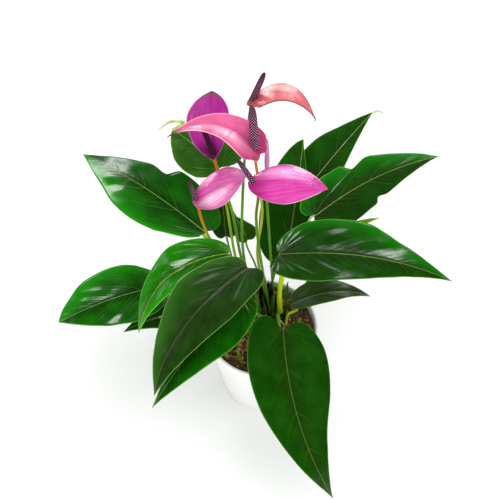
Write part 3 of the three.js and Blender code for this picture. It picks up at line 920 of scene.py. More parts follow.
class Path:
    """A smooth curve through way points, with a frame that turns as little as it can."""

    def __init__(self, points: Iterable[Sequence[float]], steps: int) -> None:
        """Works out evenly spaced stations.

        Args:
            points: Way points in millimetres.
            steps: Number of stretches.
        """
        self.points = [Vector(p) for p in points]
        fine = [self.at(i / (steps * 8)) for i in range(steps * 8 + 1)]
        lengths = [0.0]
        for a, b in zip(fine, fine[1:]):
            lengths.append(lengths[-1] + (b - a).length)
        self.length = lengths[-1]
        self.centres = []
        place = 0
        for i in range(steps + 1):
            wanted = self.length * i / steps
            while place < len(lengths) - 2 and lengths[place + 1] < wanted:
                place += 1
            stretch = (wanted - lengths[place]) / max(lengths[place + 1] - lengths[place], 1e-9)
            self.centres.append(fine[place].lerp(fine[place + 1], stretch))
        self.tangents = [
            (self.centres[min(i + 1, steps)] - self.centres[max(i - 1, 0)]).normalized()
            for i in range(steps + 1)
        ]
        side = self.tangents[0].orthogonal().normalized()
        self.sides = []
        for tangent in self.tangents:
            side = (side - tangent * side.dot(tangent)).normalized()
            self.sides.append(side)

    @classmethod
    def of_stem(cls, root: Pair, way: Sequence[Triple], top: Sequence[Vector], steps: int) -> "Path":
        """Leads a stem straight out of the soil and through its way points to its top.

        Args:
            root: Where it leaves the soil.
            way: Its way points.
            top: Its last points.
            steps: Number of stretches.

        Returns:
            The stem's course.
        """
        heights = (SOIL_TOP - ROOT_DEPTH, SOIL_TOP + STRAIGHT_ABOVE_SOIL)
        return cls([*((*root, height) for height in heights), *way, *top], steps)

    def at(self, share: float) -> Vector:
        """Gives a point of the centripetal curve.

        Args:
            share: Share of the way points passed, 0 to 1.

        Returns:
            The point.
        """
        points = self.points
        last = len(points) - 1
        position = share * last
        index = min(int(position), last - 1)
        p1, p2 = points[index], points[index + 1]
        p0 = points[index - 1] if index > 0 else 2 * p1 - p2
        p3 = points[index + 2] if index + 2 <= last else 2 * p2 - p1
        d0, d1, d2 = (max((b - a).length, 1e-4) ** 0.5 for a, b in ((p0, p1), (p1, p2), (p2, p3)))
        leave = ((p1 - p0) / d0 - (p2 - p0) / (d0 + d1) + (p2 - p1) / d1) * d1
        arrive = ((p2 - p1) / d1 - (p3 - p1) / (d1 + d2) + (p3 - p2) / d2) * d1
        return cubic(p1, p2, leave, arrive, position - index)

    def tube(self, sides: int, radius: Callable[[float], float]) -> Mesh:
        """Makes a round tube with closed ends.

        Args:
            sides: Faces round it.
            radius: Radius in millimetres at a distance in millimetres from the foot.

        Returns:
            The tube, in metres.
        """
        steps = len(self.centres) - 1
        rows = steps + 2

        def place(across: float, along: float) -> Vector:
            """Gives a point of the tube, or of the centre of an end.

            Args:
                across: Share round or across it.
                along: Share along it.

            Returns:
                The point in millimetres.
            """
            ring = round(along * rows)
            index = min(max(ring - 1, 0), steps)
            reach = 0.0 if ring in (0, rows) else radius(self.length * index / steps)
            side = self.sides[index]
            return self.centres[index] + around(side, self.tangents[index].cross(side), TURN * across) * reach

        return bent_grid(rows, sides, place, closed=True)


@dataclass
class Leaf:
    """A leaf: its blade on its own petiole, which stands in the soil.

    The root is where the petiole leaves the soil, way and radius are the petiole's, stout is how much
    thicker its foot is, and gap its distance from the blade's middle. Rows run along the blade.
    """

    name: str
    blade: Blade
    root: Pair
    way: Sequence[Triple]
    radius: float
    green: Green
    stem: Stem = Stem.GREEN
    stout: float = FOOT_SWELL
    rows: int = 110
    columns: int = 40
    gap: float = 1.5

    def petiole(self) -> Mesh:
        """Makes the petiole, swollen at its foot and at its knee below the blade."""
        point, normal = self.blade.seat(self.radius)
        arrival = (normal + (point - Vector(self.way[-1])).normalized()).normalized()
        top = (point - arrival * STEM_APPROACH, point - arrival * self.gap)
        path = Path.of_stem(self.root, self.way, top, PETIOLE_STEPS)
        extra = self.stout - FOOT_SWELL

        def radius(distance: float) -> float:
            """Gives the radius at a distance from the foot.

            Args:
                distance: The distance in millimetres.

            Returns:
                The radius in millimetres.
            """
            knee = bell(path.length - distance - KNEE_BELOW_TOP, KNEE_LENGTH)
            foot = bell(max(distance - ROOT_DEPTH, 0.0), FOOT_LENGTH + STOUT_FOOT_LENGTH * extra)
            node = max(0.0, extra) * bell(distance - NODE_HEIGHT, NODE_LENGTH)
            return self.radius * (PETIOLE_SHANK + KNEE_SWELL * knee + self.stout * foot + node)

        return path.tube(STEM_SIDES, radius)

    def build(self) -> None:
        """Makes the blade and the petiole."""
        finish = self.green.value
        faces = PALETTE.get(finish), PALETTE.get(finish, lower=True)
        sheet = self.blade.mesh(self.rows, self.columns)
        give_thickness(replace_node(f"{self.name}_blade", sheet, "leaf_blade", *faces), LEAF_THICKNESS, back=1)
        replace_node(f"{self.name}_petiole", self.petiole(), "petiole", PALETTE.get(self.stem.value))


@dataclass
class Spadix:
    """The flower spike: a tapered finger covered with florets in crossing spirals.

    Turns are the florets round it, bluntness is how late the tip rounds off, and slope the spirals'
    steepness.
    """

    start: Vector
    tip: Vector
    radius: float
    turns: int
    taper: float = 0.25
    bluntness: float = 9.0
    relief: float = 0.5
    slope: float = 0.82
    rows: int = 160

    def florets(self, across: float, along: float) -> float:
        """Gives the height of the florets' domes.

        Args:
            across: Share round the spike.
            along: Share along it.

        Returns:
            The height, from 0 in the net to 1.
        """
        climb = (self.tip - self.start).length / (TURN * self.radius / self.turns) * self.slope
        one = (self.turns * across + climb * along) % 1.0
        other = (self.turns * across - climb * along) % 1.0
        return ((1 - (2 * one - 1) ** 2) * (1 - (2 * other - 1) ** 2)) ** 0.6

    def mesh(self) -> Mesh:
        """Makes the spike."""
        axis = self.tip - self.start
        length = axis.length
        axis.normalize()
        side = axis.orthogonal().normalized()
        turn = axis.cross(side)

        def place(across: float, along: float) -> Vector:
            """Gives a point of the spike, with both ends closed.

            Args:
                across: Share round or across it.
                along: Share along it.

            Returns:
                The point in millimetres.
            """
            blunt = max(0.0, 1 - along ** self.bluntness) ** 0.5 * (1 - self.taper * along)
            rise = self.relief * (self.florets(across, along) - 0.4) * min(1.0, 12 * (1 - along))
            reach = self.radius * blunt + rise if 0 < along < 1 else 0.0
            return self.start + axis * length * along + around(side, turn, TURN * across) * reach

        return bent_grid(self.rows, self.turns * 6, place, {"floret": self.florets}, closed=True)


@dataclass
class Bloom:
    """An open bloom: a spathe, its spadix and their stalk.

    The root is where the stalk leaves the soil, way are its way points, and speckle is how strongly the
    spadix is dotted. The stalk ends at a gap before the spathe's middle, and the spadix starts sunk below
    it.
    """

    name: str
    spathe: Blade
    spadix_tip: Triple
    spadix_radius: float
    root: Pair
    way: Sequence[Triple]
    colour: Spathe
    stem: Stem
    speckle: float
    gap: float = 0.4
    sunk: float = 0.5

    def stalk(self, point: Vector, axis: Vector) -> Mesh:
        """Makes the stalk, which thickens under the spathe and ends in line with the spadix.

        Args:
            point: Where the spadix stands on the spathe.
            axis: Its direction.

        Returns:
            The stalk, in metres.
        """
        top = (point - (axis + UP).normalized() * STEM_APPROACH, point - axis * self.gap)
        path = Path.of_stem(self.root, self.way, top, STALK_STEPS)

        def radius(distance: float) -> float:
            """Gives the radius at a distance from the foot.

            Args:
                distance: The distance in millimetres.

            Returns:
                The radius in millimetres.
            """
            neck = bell(path.length - distance, NECK_LENGTH)
            foot = bell(max(distance - ROOT_DEPTH, 0.0), FOOT_LENGTH)
            return STALK_RADIUS * (STALK_SHANK + NECK_SWELL * neck + FOOT_SWELL * foot)

        return path.tube(STEM_SIDES, radius)

    def build(self) -> None:
        """Makes the spathe, the spadix and the stalk."""
        finish = self.colour.value
        faces = PALETTE.get(finish), PALETTE.get(finish, lower=True)
        spathe = replace_node(f"{self.name}_spathe", self.spathe.mesh(*SPATHE_GRID), finish.name, *faces)
        give_thickness(spathe, SPATHE_THICKNESS, back=1)
        point, _ = self.spathe.seat(self.spadix_radius)
        tip = Vector(self.spadix_tip)
        axis = (tip - point).normalized()
        spike = Spadix(point - axis * self.sunk, tip, self.spadix_radius, 3 + round(self.spadix_radius * 1.9))
        florets = SpadixFinish(f"spadix_{self.name}", self.speckle)
        replace_node(f"{self.name}_spadix", spike.mesh(), "spadix", PALETTE.get(florets))
        stalk = self.stalk(point, axis)
        replace_node(f"{self.name}_stalk", stalk, "flower_stalk", PALETTE.get(self.stem.value))


@dataclass
class Furl:
    """A rolled young spathe or a sheath: a pointed sheet wound round an axis.

    Turns are how often it goes round, tighten is how much narrower its inner edge is, and open_at_tip how
    far it unrolls there. Its open side faces a direction in degrees, and its core's radius lasts almost
    to the tip.
    """

    base: Triple
    tip: Triple
    radius: float
    turns: float
    tighten: float = 0.2
    open_at_tip: float = 0.0
    facing: float = -90.0
    thickness: float = 0.4
    core: float = 0.5
    grid: tuple[int, int] = (40, 40)

    def mesh(self) -> Mesh:
        """Makes the sheet."""
        base = Vector(self.base)
        axis = Vector(self.tip) - base
        length = axis.length
        axis.normalize()
        facing = math.radians(self.facing)
        side = Vector((math.cos(facing), math.sin(facing), 0))
        side = (side - axis * side.dot(axis)).normalized()
        turn = axis.cross(side)

        def place(across: float, along: float) -> Vector:
            """Gives a point of the sheet, which runs to a point at its tip.

            Args:
                across: Share round or across it.
                along: Share along it.

            Returns:
                The point in millimetres.
            """
            full = math.sin(math.pi * min(1.0, 0.22 + 0.78 * along)) ** 0.75 if along < 1 else 0.0
            turns = self.turns * (1 - self.open_at_tip * along)
            reach = (self.radius - self.core) * full * (1 - self.tighten * across)
            reach += self.core * min(1.0, 8 * (1 - along))
            angle = math.pi + TURN * turns * (across - 0.5)
            return base + axis * length * along + around(side, turn, angle) * reach

        return bent_grid(*self.grid, place)


@dataclass
class Pot:
    """The white pot: a tapered wall with a thicker lip and a closed floor."""

    height: float = 110.0
    rim: float = 59.0
    foot: float = 43.0
    wall: float = 2.4
    floor: float = 3.0
    lip_height: float = 10.0
    lip_step: float = 1.6
    lip_slope: float = 0.8
    sides: int = 128
    edge_radius: float = 0.75
    edge_angle: float = 14.0

    def mesh(self) -> Mesh:
        """Turns the profile and rounds its edges."""
        lip_foot = self.height - self.lip_height
        wall_top = self.rim - self.lip_step
        profile = [
            (0.0, 0.0), (self.foot, 0.0), (wall_top, lip_foot), (self.rim, lip_foot + self.lip_slope),
            (self.rim, self.height), (self.rim - self.wall, self.height),
            (wall_top - self.wall, lip_foot), (self.foot - self.wall, self.floor), (0.0, self.floor),
        ]
        mesh = bmesh.new()
        corners = [mesh.verts.new((r * MM, 0, z * MM)) for r, z in profile]
        edges = [mesh.edges.new(pair) for pair in zip(corners, corners[1:])]
        bmesh.ops.spin(
            mesh, geom=corners + edges, cent=(0, 0, 0), axis=(0, 0, 1), dvec=(0, 0, 0),
            angle=TURN, steps=self.sides, use_merge=True,
        )
        bmesh.ops.remove_doubles(mesh, verts=mesh.verts, dist=1e-6)
        bmesh.ops.recalc_face_normals(mesh, faces=mesh.faces)
        limit = math.radians(self.edge_angle)
        sharp = [e for e in mesh.edges if len(e.link_faces) == 2 and e.calc_face_angle(0) > limit]
        bmesh.ops.bevel(
            mesh, geom=sharp, offset=self.edge_radius * MM, affect="EDGES", segments=3, profile=0.5,
            material=-1,
        )
        return mesh

    def build(self) -> None:
        """Makes the pot."""
        replace_node("pot", self.mesh(), "pot", PALETTE.get(PotFinish()))


@dataclass
class Scatter:
    """Loose bits of one kind on the soil.

    Size is their smallest and largest radius, shape their stretch along three axes, sink the share of
    their height below the soil, lean the spread of their tilt and ragged that of their corners.
    """

    name: str
    finish: SpeckledFinish
    count: int
    size: Pair
    shape: Triple
    sink: float
    seed: int
    lean: float = 0.35
    ragged: float = 0.16

    def mesh(self, soil: "Soil") -> Mesh:
        """Makes the bits, each a small lumpy ball or chip.

        Args:
            soil: What they lie on.

        Returns:
            All the bits as one mesh.
        """
        draw = random.Random(self.seed)
        mesh = bmesh.new()
        for _ in range(self.count):
            radius = draw.uniform(*self.size)
            distance = (soil.edge - radius - 0.5) * math.sqrt(draw.random())
            angle = draw.uniform(0, TURN)
            x, y = distance * math.cos(angle), distance * math.sin(angle)
            stretch = Matrix.Diagonal([*(radius * side * MM for side in self.shape), 1])
            lean = Matrix.Rotation(draw.gauss(0, self.lean), 4, "X")
            lean = lean @ Matrix.Rotation(draw.gauss(0, self.lean), 4, "Y")
            turn = Matrix.Rotation(draw.uniform(0, TURN), 4, "Z") @ lean
            height = soil.height(x, y) + radius * self.shape[2] * (1 - 2 * self.sink)
            place = Matrix.Translation(Vector((x, y, height)) * MM) @ turn @ stretch
            made = bmesh.ops.create_icosphere(mesh, subdivisions=1, radius=1.0, matrix=place)
            for vertex in made["verts"]:
                vertex.co += Vector([draw.gauss(0, self.ragged) * radius * MM for _ in range(3)])
        return mesh


@dataclass
class Soil:
    """The soil: a lumpy bed that fills the pot, with bark, peat crumbs and fibres on it.

    Edge and foot are its radii at the top and bottom, lumps the sizes of its large and small lumps, and
    the bank rises against the pot's wall. Of the bed's rows, the top share lies on its top and the side
    share reaches down to the bottom's edge.
    """

    edge: float = 54.5
    bottom: float = 3.5
    foot: float = 40.2
    relief: float = 1.5
    lumps: Pair = (9, 3.4)
    bank: float = 5.0
    bank_start: float = 0.8
    top_share: float = 0.84
    side_share: float = 0.92
    grid: tuple[int, int] = (50, 120)
    bed: SpeckledFinish = SpeckledFinish("soil_bed", (44, 28, 14), (120, 82, 44), 300.0)
    scatters: tuple[Scatter, ...] = (
        Scatter("soil_crumbs", SpeckledFinish("peat_crumbs", (70, 44, 22), (178, 122, 70), 260.0),
                760, (0.7, 2.2), (1, 0.85, 0.7), 0.35, 3),
        Scatter("soil_bark", SpeckledFinish("bark_chips", (132, 84, 46), (226, 166, 106), 240.0),
                230, (1.6, 4.2), (1, 0.6, 0.34), 0.3, 5),
        Scatter("soil_pale_bits", SpeckledFinish("pale_bits", (190, 150, 110), (244, 220, 184), 260.0),
                64, (0.9, 2.4), (1, 0.5, 0.4), 0.25, 8),
        Scatter("soil_fibres", SpeckledFinish("coir_fibres", (110, 74, 46), (170, 126, 84), 300.0),
                120, (2.2, 5.0), (1, 0.09, 0.09), -0.2, 13),
    )

    def height(self, x: float, y: float) -> float:
        """Gives the height of the soil's surface.

        Args:
            x: Place to the right.
            y: Place to the back.

        Returns:
            The height in millimetres.
        """
        large, small = self.lumps
        lumps = noise.noise(Vector((x / large, y / large, 1.7)))
        lumps += 0.5 * noise.noise(Vector((x / small, y / small, 4.1)))
        bank = max(0.0, math.hypot(x, y) / self.edge - self.bank_start) / 0.2
        return SOIL_TOP + self.relief * lumps + self.bank * bank ** 1.5

    def bed_point(self, across: float, along: float) -> Vector:
        """Gives a point of the bed, from the middle of its top over its edge to the middle below.

        Args:
            across: Share round it.
            along: Share along its profile.

        Returns:
            The point in millimetres.
        """
        if along <= self.top_share:
            reach = self.edge * along / self.top_share
        else:
            reach = self.foot * min(1.0, (1 - along) / (1 - self.side_share))
        x, y = reach * math.cos(TURN * across), reach * math.sin(TURN * across)
        return Vector((x, y, self.height(x, y) if along <= self.top_share else self.bottom))

    def build(self) -> None:
        """Makes the bed and what lies on it."""
        bed = bent_grid(*self.grid, self.bed_point, closed=True)
        make_piece("soil_bed_look", bed, [PALETTE.get(self.bed)], ["soil"])
        for scatter in self.scatters:
            make_piece(scatter.name, scatter.mesh(self), [PALETTE.get(scatter.finish)])


@dataclass
class Crown:
    """What stands at the crown besides stems: the rolled spathe on its stalk, sheaths and a sprout.

    Bracts are dark sheaths with place, height, radius and facing. Wisps are curled tips, root stubs,
    shoots, thin stems and hooks with name, way points and radius, and ends gives their materials and
    slots by the first word of the name. The mound is the root crown, with the heights of its lumps and
    their cells to the metre.
    """

    bud_base: Triple = (3, 57, 300)
    bud_tip: Triple = (3, 68, 337)
    bud_root: Pair = (13, 22)
    bud_way: tuple[Triple, ...] = ((9, 45, 170), (4, 56, 250))
    bud_roll: Pair = (2.7, 1.3)
    bud_seat: float = 0.6
    sheaths: tuple[tuple[str, str, Furl, SpeckledFinish], ...] = (
        ("crown_sheath_1", "dry_sheath", Furl((5.2, 4.2, 94), (2, 10, 140), 2.9, 0.62, 0.1, 0.35, -60, 0.5),
         SpeckledFinish("sheath_dry", (50, 44, 24), (98, 84, 46), 120.0, 0.7)),
        ("crown_sheath_2", "green_sheath", Furl((24.8, 29, 94), (27, 38, 138), 2.4, 0.62, 0.1, 0.35, -90, 0.5),
         SpeckledFinish("sheath_green", (120, 146, 54), (176, 190, 96), 90.0, 0.45)),
        ("sprout", "green_sheath", Furl((-22.5, -37.7, 94), (-26, -33, 124), 1.9, 0.9, 0.1, 0.35, -120, 0.5),
         SpeckledFinish("sprout_green", (84, 134, 40), (136, 176, 62), 160.0, 0.4)),
    )
    bracts: tuple[tuple[Pair, float, float, float], ...] = (
        ((11, 10), 30, 4.2, -80), ((-4, 11), 26, 3.8, -120), ((3, 15), 38, 4.6, -90), ((13, 19), 46, 4.2, -60),
        ((21, 12), 22, 3.2, -40), ((-9, 20), 28, 3.8, -100), ((19, 24), 36, 3.8, -30), ((7, 29), 44, 4.2, -90),
        ((10, 2), 20, 3.0, -90), ((1, -2), 18, 2.8, -110), ((28, 14), 20, 2.6, -20), ((-2, 22), 40, 4.4, -90),
        ((4, 8), 24, 3.6, -100), ((8, 22), 52, 4.4, -80), ((2, 33), 40, 4.0, -90), ((14, 30), 48, 3.8, -90),
    )
    bract: SpeckledFinish = SpeckledFinish("bract_dark", (12, 18, 6), (52, 60, 20), 150.0, 0.65)
    bract_lean: float = 0.12
    bract_depth: float = 4
    mound_centre: Triple = (6, 17, 98)
    mound_radii: Triple = (22, 21, 9)
    mound_lumps: tuple[Pair, Pair] = ((3.5, 260), (1.5, 700))
    mound: SpeckledFinish = SpeckledFinish("crown_dark", (22, 18, 8), (64, 52, 26), 260.0)
    ends: tuple[tuple[str, SpeckledFinish, str], ...] = (
        ("tip", SpeckledFinish("leaf_end_pale", (150, 180, 90), (206, 220, 156), 160.0, 0.5), "leaf_blade"),
        ("root", SpeckledFinish("root_pale", (176, 160, 96), (228, 220, 172), 240.0, 0.6), "petiole"),
        ("dry", SpeckledFinish("dry_stem", (40, 60, 14), (96, 120, 34), 200.0, 0.6), "petiole"),
        ("shoot", SpeckledFinish("shoot_green", (38, 76, 10), (70, 116, 24), 200.0, 0.5), "petiole"),
        ("knee", SpeckledFinish("knee_pale", (112, 160, 70), (176, 206, 130), 200.0, 0.5), "petiole"),
        ("hook", SpeckledFinish("spathe_hook", (44, 14, 30), (78, 30, 48), 200.0, 0.5), "spathe_salmon"),
    )
    wisps: tuple[tuple[str, tuple[Triple, ...], float], ...] = (
        ("tip_curl_left", ((-92, 141, 262), (-80, 148, 266), (-93, 146, 270), (-107, 138, 265)), 2.1),
        ("tip_curl_right", ((116, 184, 239.5), (122, 186, 241), (128, 184, 240)), 1.3),
        ("root_stub_1", ((19, 13, 96), (18, 11, 106), (22, 7, 104), (25, 4, 97)), 1.5),
        ("root_stub_2", ((14, -1, 97), (12, -5, 103), (14, -10, 98)), 1.1),
        ("root_stub_3", ((-12, 2, 97), (-16, -2, 103), (-19, -3, 97)), 1.1),
        ("dry_stem_1", ((20, 27, 96), (21, 26, 125), (27, 21, 165)), 0.9),
        ("dry_stem_2", ((6, 8, 96), (4, 9, 125), (0, 12, 150)), 0.8),
        ("dry_stem_3", ((8, 12, 96), (9, 12, 130), (13, 14, 158)), 0.8),
        ("shoot_1", ((12, 12, 96), (11.5, 14, 125), (12.5, 16, 156)), 1.9),
        ("shoot_2", ((1, 9, 96), (-1, 12, 120), (-6, 16, 146)), 1.3),
        ("shoot_3", ((6, 19, 96), (5, 22, 130), (3, 27, 164)), 1.5),
        ("knee_right", ((50.5, 59.5, 199), (47, 60, 207), (47.5, 64, 214), (53, 68.5, 216.6)), 2.0),
        ("hook_centre", ((-83.5, 64.2, 346.4), (-86.4, 63.2, 345.4), (-88.6, 61.6, 343.4)), 0.75),
        ("hook_top", ((44.6, 70.4, 364.4), (45.8, 69.2, 362.4), (46.2, 68.8, 360.2), (44.8, 69.2, 358.6)),
         0.75),
    )

    def add_bud(self) -> None:
        """Makes the rolled young spathe and its stalk."""
        roll = Furl(self.bud_base, self.bud_tip, *self.bud_roll, 0.3, facing=-60)
        lilac = PALETTE.get(Spathe.LILAC.value, lower=True)
        give_thickness(replace_node("bud_spathe", roll.mesh(), "young_spathe", lilac), roll.thickness)
        base = Vector(self.bud_base)
        axis = (Vector(self.bud_tip) - base).normalized()
        top = (base - axis * STEM_APPROACH, base + axis * self.bud_seat)
        path = Path.of_stem(self.bud_root, self.bud_way, top, STALK_STEPS)
        mesh = path.tube(STEM_SIDES, lambda d: STALK_RADIUS * (0.86 + 0.25 * bell(path.length - d, 6)))
        replace_node("bud_stalk", mesh, "flower_stalk", PALETTE.get(Stem.STALK_OLIVE.value))

    def add_sheaths(self) -> None:
        """Makes the frame's two sheaths and its sprout, then the dark papery ones between the stems' feet."""
        for node, slot, sheath, finish in self.sheaths:
            piece = replace_node(node, sheath.mesh(), slot, PALETTE.get(finish))
            give_thickness(piece, sheath.thickness)
        for number, ((x, y), height, radius, facing) in enumerate(self.bracts, 1):
            lean = self.bract_lean * height
            foot = (x, y, SOIL_TOP - self.bract_depth)
            tip = (x + lean * math.cos(number), y + lean * math.sin(number), SOIL_TOP + height)
            bract = Furl(foot, tip, radius, 0.55, 0.1, 0.5, facing)
            piece = make_piece(f"bract_{number}", bract.mesh(), [PALETTE.get(self.bract)])
            give_thickness(piece, bract.thickness)

    def add_mound(self) -> None:
        """Makes the dark lumpy root crown from which the stems rise."""
        mesh = bmesh.new()
        stretch = Matrix.Diagonal((*(radius * MM for radius in self.mound_radii), 1))
        shape = Matrix.Translation(Vector(self.mound_centre) * MM) @ stretch
        bmesh.ops.create_icosphere(mesh, subdivisions=5, radius=1.0, matrix=shape)
        for vertex in mesh.verts:
            lumps = (height * MM * noise.noise(vertex.co * cells) for height, cells in self.mound_lumps)
            vertex.co.z += sum(lumps)
        make_piece("crown_mound", mesh, [PALETTE.get(self.mound)])

    def add_wisps(self) -> None:
        """Makes curled tips, root stubs, green shoots and thin dry stems."""
        looks = {word: (finish, slot) for word, finish, slot in self.ends}
        for name, points, thickness in self.wisps:
            finish, slot = looks[name.split("_")[0]]
            path = Path(points, WISP_STEPS)

            def radius(distance: float) -> float:
                """Gives the radius at a distance from the foot, less towards the end."""
                return thickness * (0.2 + 0.8 * max(0.0, 1 - distance / path.length) ** 0.6)

            make_piece(name, path.tube(WISP_SIDES, radius), [PALETTE.get(finish)])

    def build(self) -> None:
        """Makes all of it."""
        self.add_bud()
        self.add_sheaths()
        self.add_mound()
        self.add_wisps()


SAG = {"fold": (-10, -10), "curl": (10, 10)}
SMALL = {"rows": 66, "columns": 24}
LEAVES: tuple[Leaf, ...] = (
    Leaf("front_leaf", Blade((21, -27, 150), (74, -167, 45), (42, 42), arch=14, bend=15, fold=(12, 12),
         glow=(0.1, 0.2), lobes=(0.5, 0.9), hook=6, wave=1.5), (15, 7), ((16, 0, 134),), 1.9, Green.DEEP),
    Leaf("front_left_leaf", Blade((-15, -14, 245), (-107, -116, 182), (30, 36), arch=16, bend=6, roll=8,
         fold=(0, -6), curl=(-4, 6), lobes=(0.7, 0.1), belly=(0.5, 0.3), glow=(0.2, 0.9), hook=8, wave=1.5),
         (-1, 3), ((-6, 0, 165),), 1.9, Green.OLIVE, Stem.DARK),
    Leaf("under_left_leaf", Blade((-23, -20, 203), (-108, -115, 150), (33, 35), arch=10, roll=5, **SAG,
         lobes=(0.6, 0.9), belly=(0, -0.5), wave=1.5), (6, -3), ((-2, -12, 150),), 1.8, Green.MID),
    Leaf("left_leaf", Blade((-33, 9, 235), (-123, -44, 172), (21, 29), arch=20, bend=12, roll=10, **SAG,
         lobes=(0.2, -0.1), belly=(0.35, 0.5), wave=1.5, glow=(1, 0.7)),
         (-9, 10), ((-18, 10, 160),), 1.7, Green.BRIGHT, Stem.YELLOW, 0.0),
    Leaf("far_left_leaf", Blade((-100, 21, 158), (-210, -12, 138), (34, 37), arch=10, **SAG, lobes=(0.1, -0.3),
         belly=(0.5, 1), wave=1.5, glow=(0.3, 1)), (-14, 5), ((-22, 6, 116), (-55, 14, 134)), 1.7, Green.MID),
    Leaf("low_left_leaf", Blade((-86, 8, 128), (-146, -12, 118), (16, 18), arch=6, lobes=(0.6, 0.6)),
         (-10, -3), ((-16, -3, 114), (-50, 2, 122)), 1.4, Green.DARK, **SMALL),
    Leaf("upper_left_leaf", Blade((-57, 41, 225), (-191, 153, 210), (36, 37), arch=14, roll=-6, **SAG,
         lobes=(-0.5, 0.4), belly=(0.4, 0.2), notches=(None, (0.42, 0.09, 0.25)), wave=1.5, glow=(1, 0.15)),
         (-9, 18), ((-28, 30, 150), (-47, 46, 190)), 1.9, Green.MID, Stem.YELLOW),
    Leaf("back_left_leaf", Blade((-43, 102, 250), (-92, 143, 262), (28, 34), arch=6, roll=-10,
         lobes=(0, 1.5), belly=(0.75, 0.2), wave=1), (-5, 26), ((-22, 48, 170), (-33, 78, 222)), 1.6,
         Green.SOFT),
    Leaf("right_leaf", Blade((15, 11, 230), (188, 0, 198), (42, 32), arch=20, **SAG, lobes=(0.1, 0.6),
         belly=(0.35, 0), wave=1.5, glow=(0.9, 0.2)),
         (19, 17), ((18, 20, 140), (21, 21, 190)), 2.8, Green.DARK, Stem.YELLOW, 0.45),
    Leaf("low_right_leaf", Blade((31, 10, 140), (115, 25, 130), (18, 12), arch=16, lobes=(0.3, 0.3),
         belly=(0.3, 0.3)), (26, 8), ((28, 8, 122),), 1.4, Green.SATIN, Stem.YELLOW, **SMALL),
    Leaf("back_right_leaf", Blade((46, 109, 205), (118, 186.8, 240), (29, 19), arch=6, roll=6, **SAG,
         lobes=(0.6, 0.6), belly=(0.3, -0.1), wave=1),
         (9, 33), ((13, 50, 135), (36, 90, 172)), 1.6, Green.DARK),
    Leaf("back_leaf", Blade((24, 47, 160), (43, 151, 237), (35, 21), arch=8, roll=12, **SAG, lobes=(0.2, 1.1),
         belly=(0.9, 0), wave=1), (17, 27), ((19, 32, 130),), 1.7, Green.DARK),
    Leaf("upper_right_leaf", Blade((52, 67, 215), (184, 134, 230), (31, 30), arch=10, bend=-5, roll=6, **SAG,
         lobes=(0.6, 0.6), belly=(0.5, 0), wave=1.5, notches=((0.4, 0.09, 0.28), (0.44, 0.05, 0.2)),
         glow=(0.9, 0.05)), (25, 22), ((50, 38, 146),), 1.7, Green.DARK),
    Leaf("inner_dark_leaf", Blade((-38, 71, 175), (-43, 119, 195), (14, 14), arch=3, lobes=(0.5, 0.5)),
         (-12, 27), ((-28, 52, 140),), 1.2, Green.DARK, **SMALL),
    Leaf("inner_small_leaf", Blade((-15, 73, 165), (-29, 98, 175), (11, 13), arch=3, lobes=(0.5, 0.5)),
         (2, 34), ((-6, 58, 135),), 1.1, Green.SOFT, **SMALL),
    Leaf("young_right_leaf", Blade((62, 55, 186), (120, 77, 200), (7, 7), arch=3, fold=(40, 40),
         lobes=(0.2, 0.2), belly=(0.4, 0.4)),
         (33, 14), ((50, 30, 140),), 1.2, Green.YOUNG, **SMALL),
)

SMOOTH = {"outline": SPATHE_OUTLINE, "quilt": 0.0, "groove": 0.35, "crumple": 0.4}
BLOOMS: tuple[Bloom, ...] = (
    Bloom("top_bloom", Blade((-16, 82, 369), (45.7, 69, 363.7), (12.1, 13.4), arch=21.5, bend=-2.3,
          fold=(5.5, -2.9), curl=(-10, -2.3), lobes=(-1.2, 0), belly=(0.27, -0.95), **SMOOTH),
          (0, 80, 410), 3.0, (1, 18), ((-18.5, 38, 178), (-19, 68, 280)), Spathe.SALMON, Stem.STALK_OLIVE, 0.6),
    Bloom("centre_bloom", Blade((-3, 50, 335), (-85.6, 64, 346.1), (20.7, 15.4), arch=20.4, bend=8.6, roll=-6.7,
          fold=(17.5, 31.7), curl=(-8, 0.7), lobes=(0.45, 0.5), belly=(-0.84, -0.95), **SMOOTH),
          (-11, 60, 389), 4.4, (7, 24), ((-5, 42, 180), (-1, 46, 255)), Spathe.PINK, Stem.STALK_GOLD, 1.0),
    Bloom("upright_bloom", Blade((-47, 65, 309), (-47.9, 104, 360.2), (29.7, 20.7), arch=-7.7, bend=-0.8,
          roll=0.9, fold=(29.7, 27.3), curl=(10.3, 14.6), lobes=(-0.7, -1.2), belly=(0.92, 1), **SMOOTH),
          (-57, 76, 345), 2.8, (-4, 12), ((-26, 40, 170), (-36, 58, 245)), Spathe.PURPLE,
          Stem.STALK_ORANGE, 0.1),
    Bloom("left_bloom", Blade((-67, 31, 288), (-15.8, 53, 299.4), (19.5, 17.6), arch=7, bend=0.7, roll=12.3,
          fold=(-1.7, 0.4), curl=(-14.4, -13.5), lobes=(-1.2, 0), belly=(1, 0), **SMOOTH),
          (-69, 35, 315), 2.3, (-10, 13.5),
          ((-27, 22, 150), (-47, 39, 200), (-53, 34, 225), (-58, 32, 250)),
          Spathe.MAUVE, Stem.STALK_ORANGE, 0.6),
    Bloom("right_bloom", Blade((-15, 24, 326), (58.6, 23, 318.1), (20, 22), arch=10.8, bend=0.4, roll=7.8,
          fold=(-1.8, -4.2), curl=(-11.7, -16.8), lobes=(-0.6, -0.1), belly=(0.2, 0.1), **SMOOTH),
          (-24, 31, 351), 2.7, (9, 13), ((-3, 33, 200), (-7, 27, 270)), Spathe.MAGENTA, Stem.STALK_OLIVE, 0.6),
)


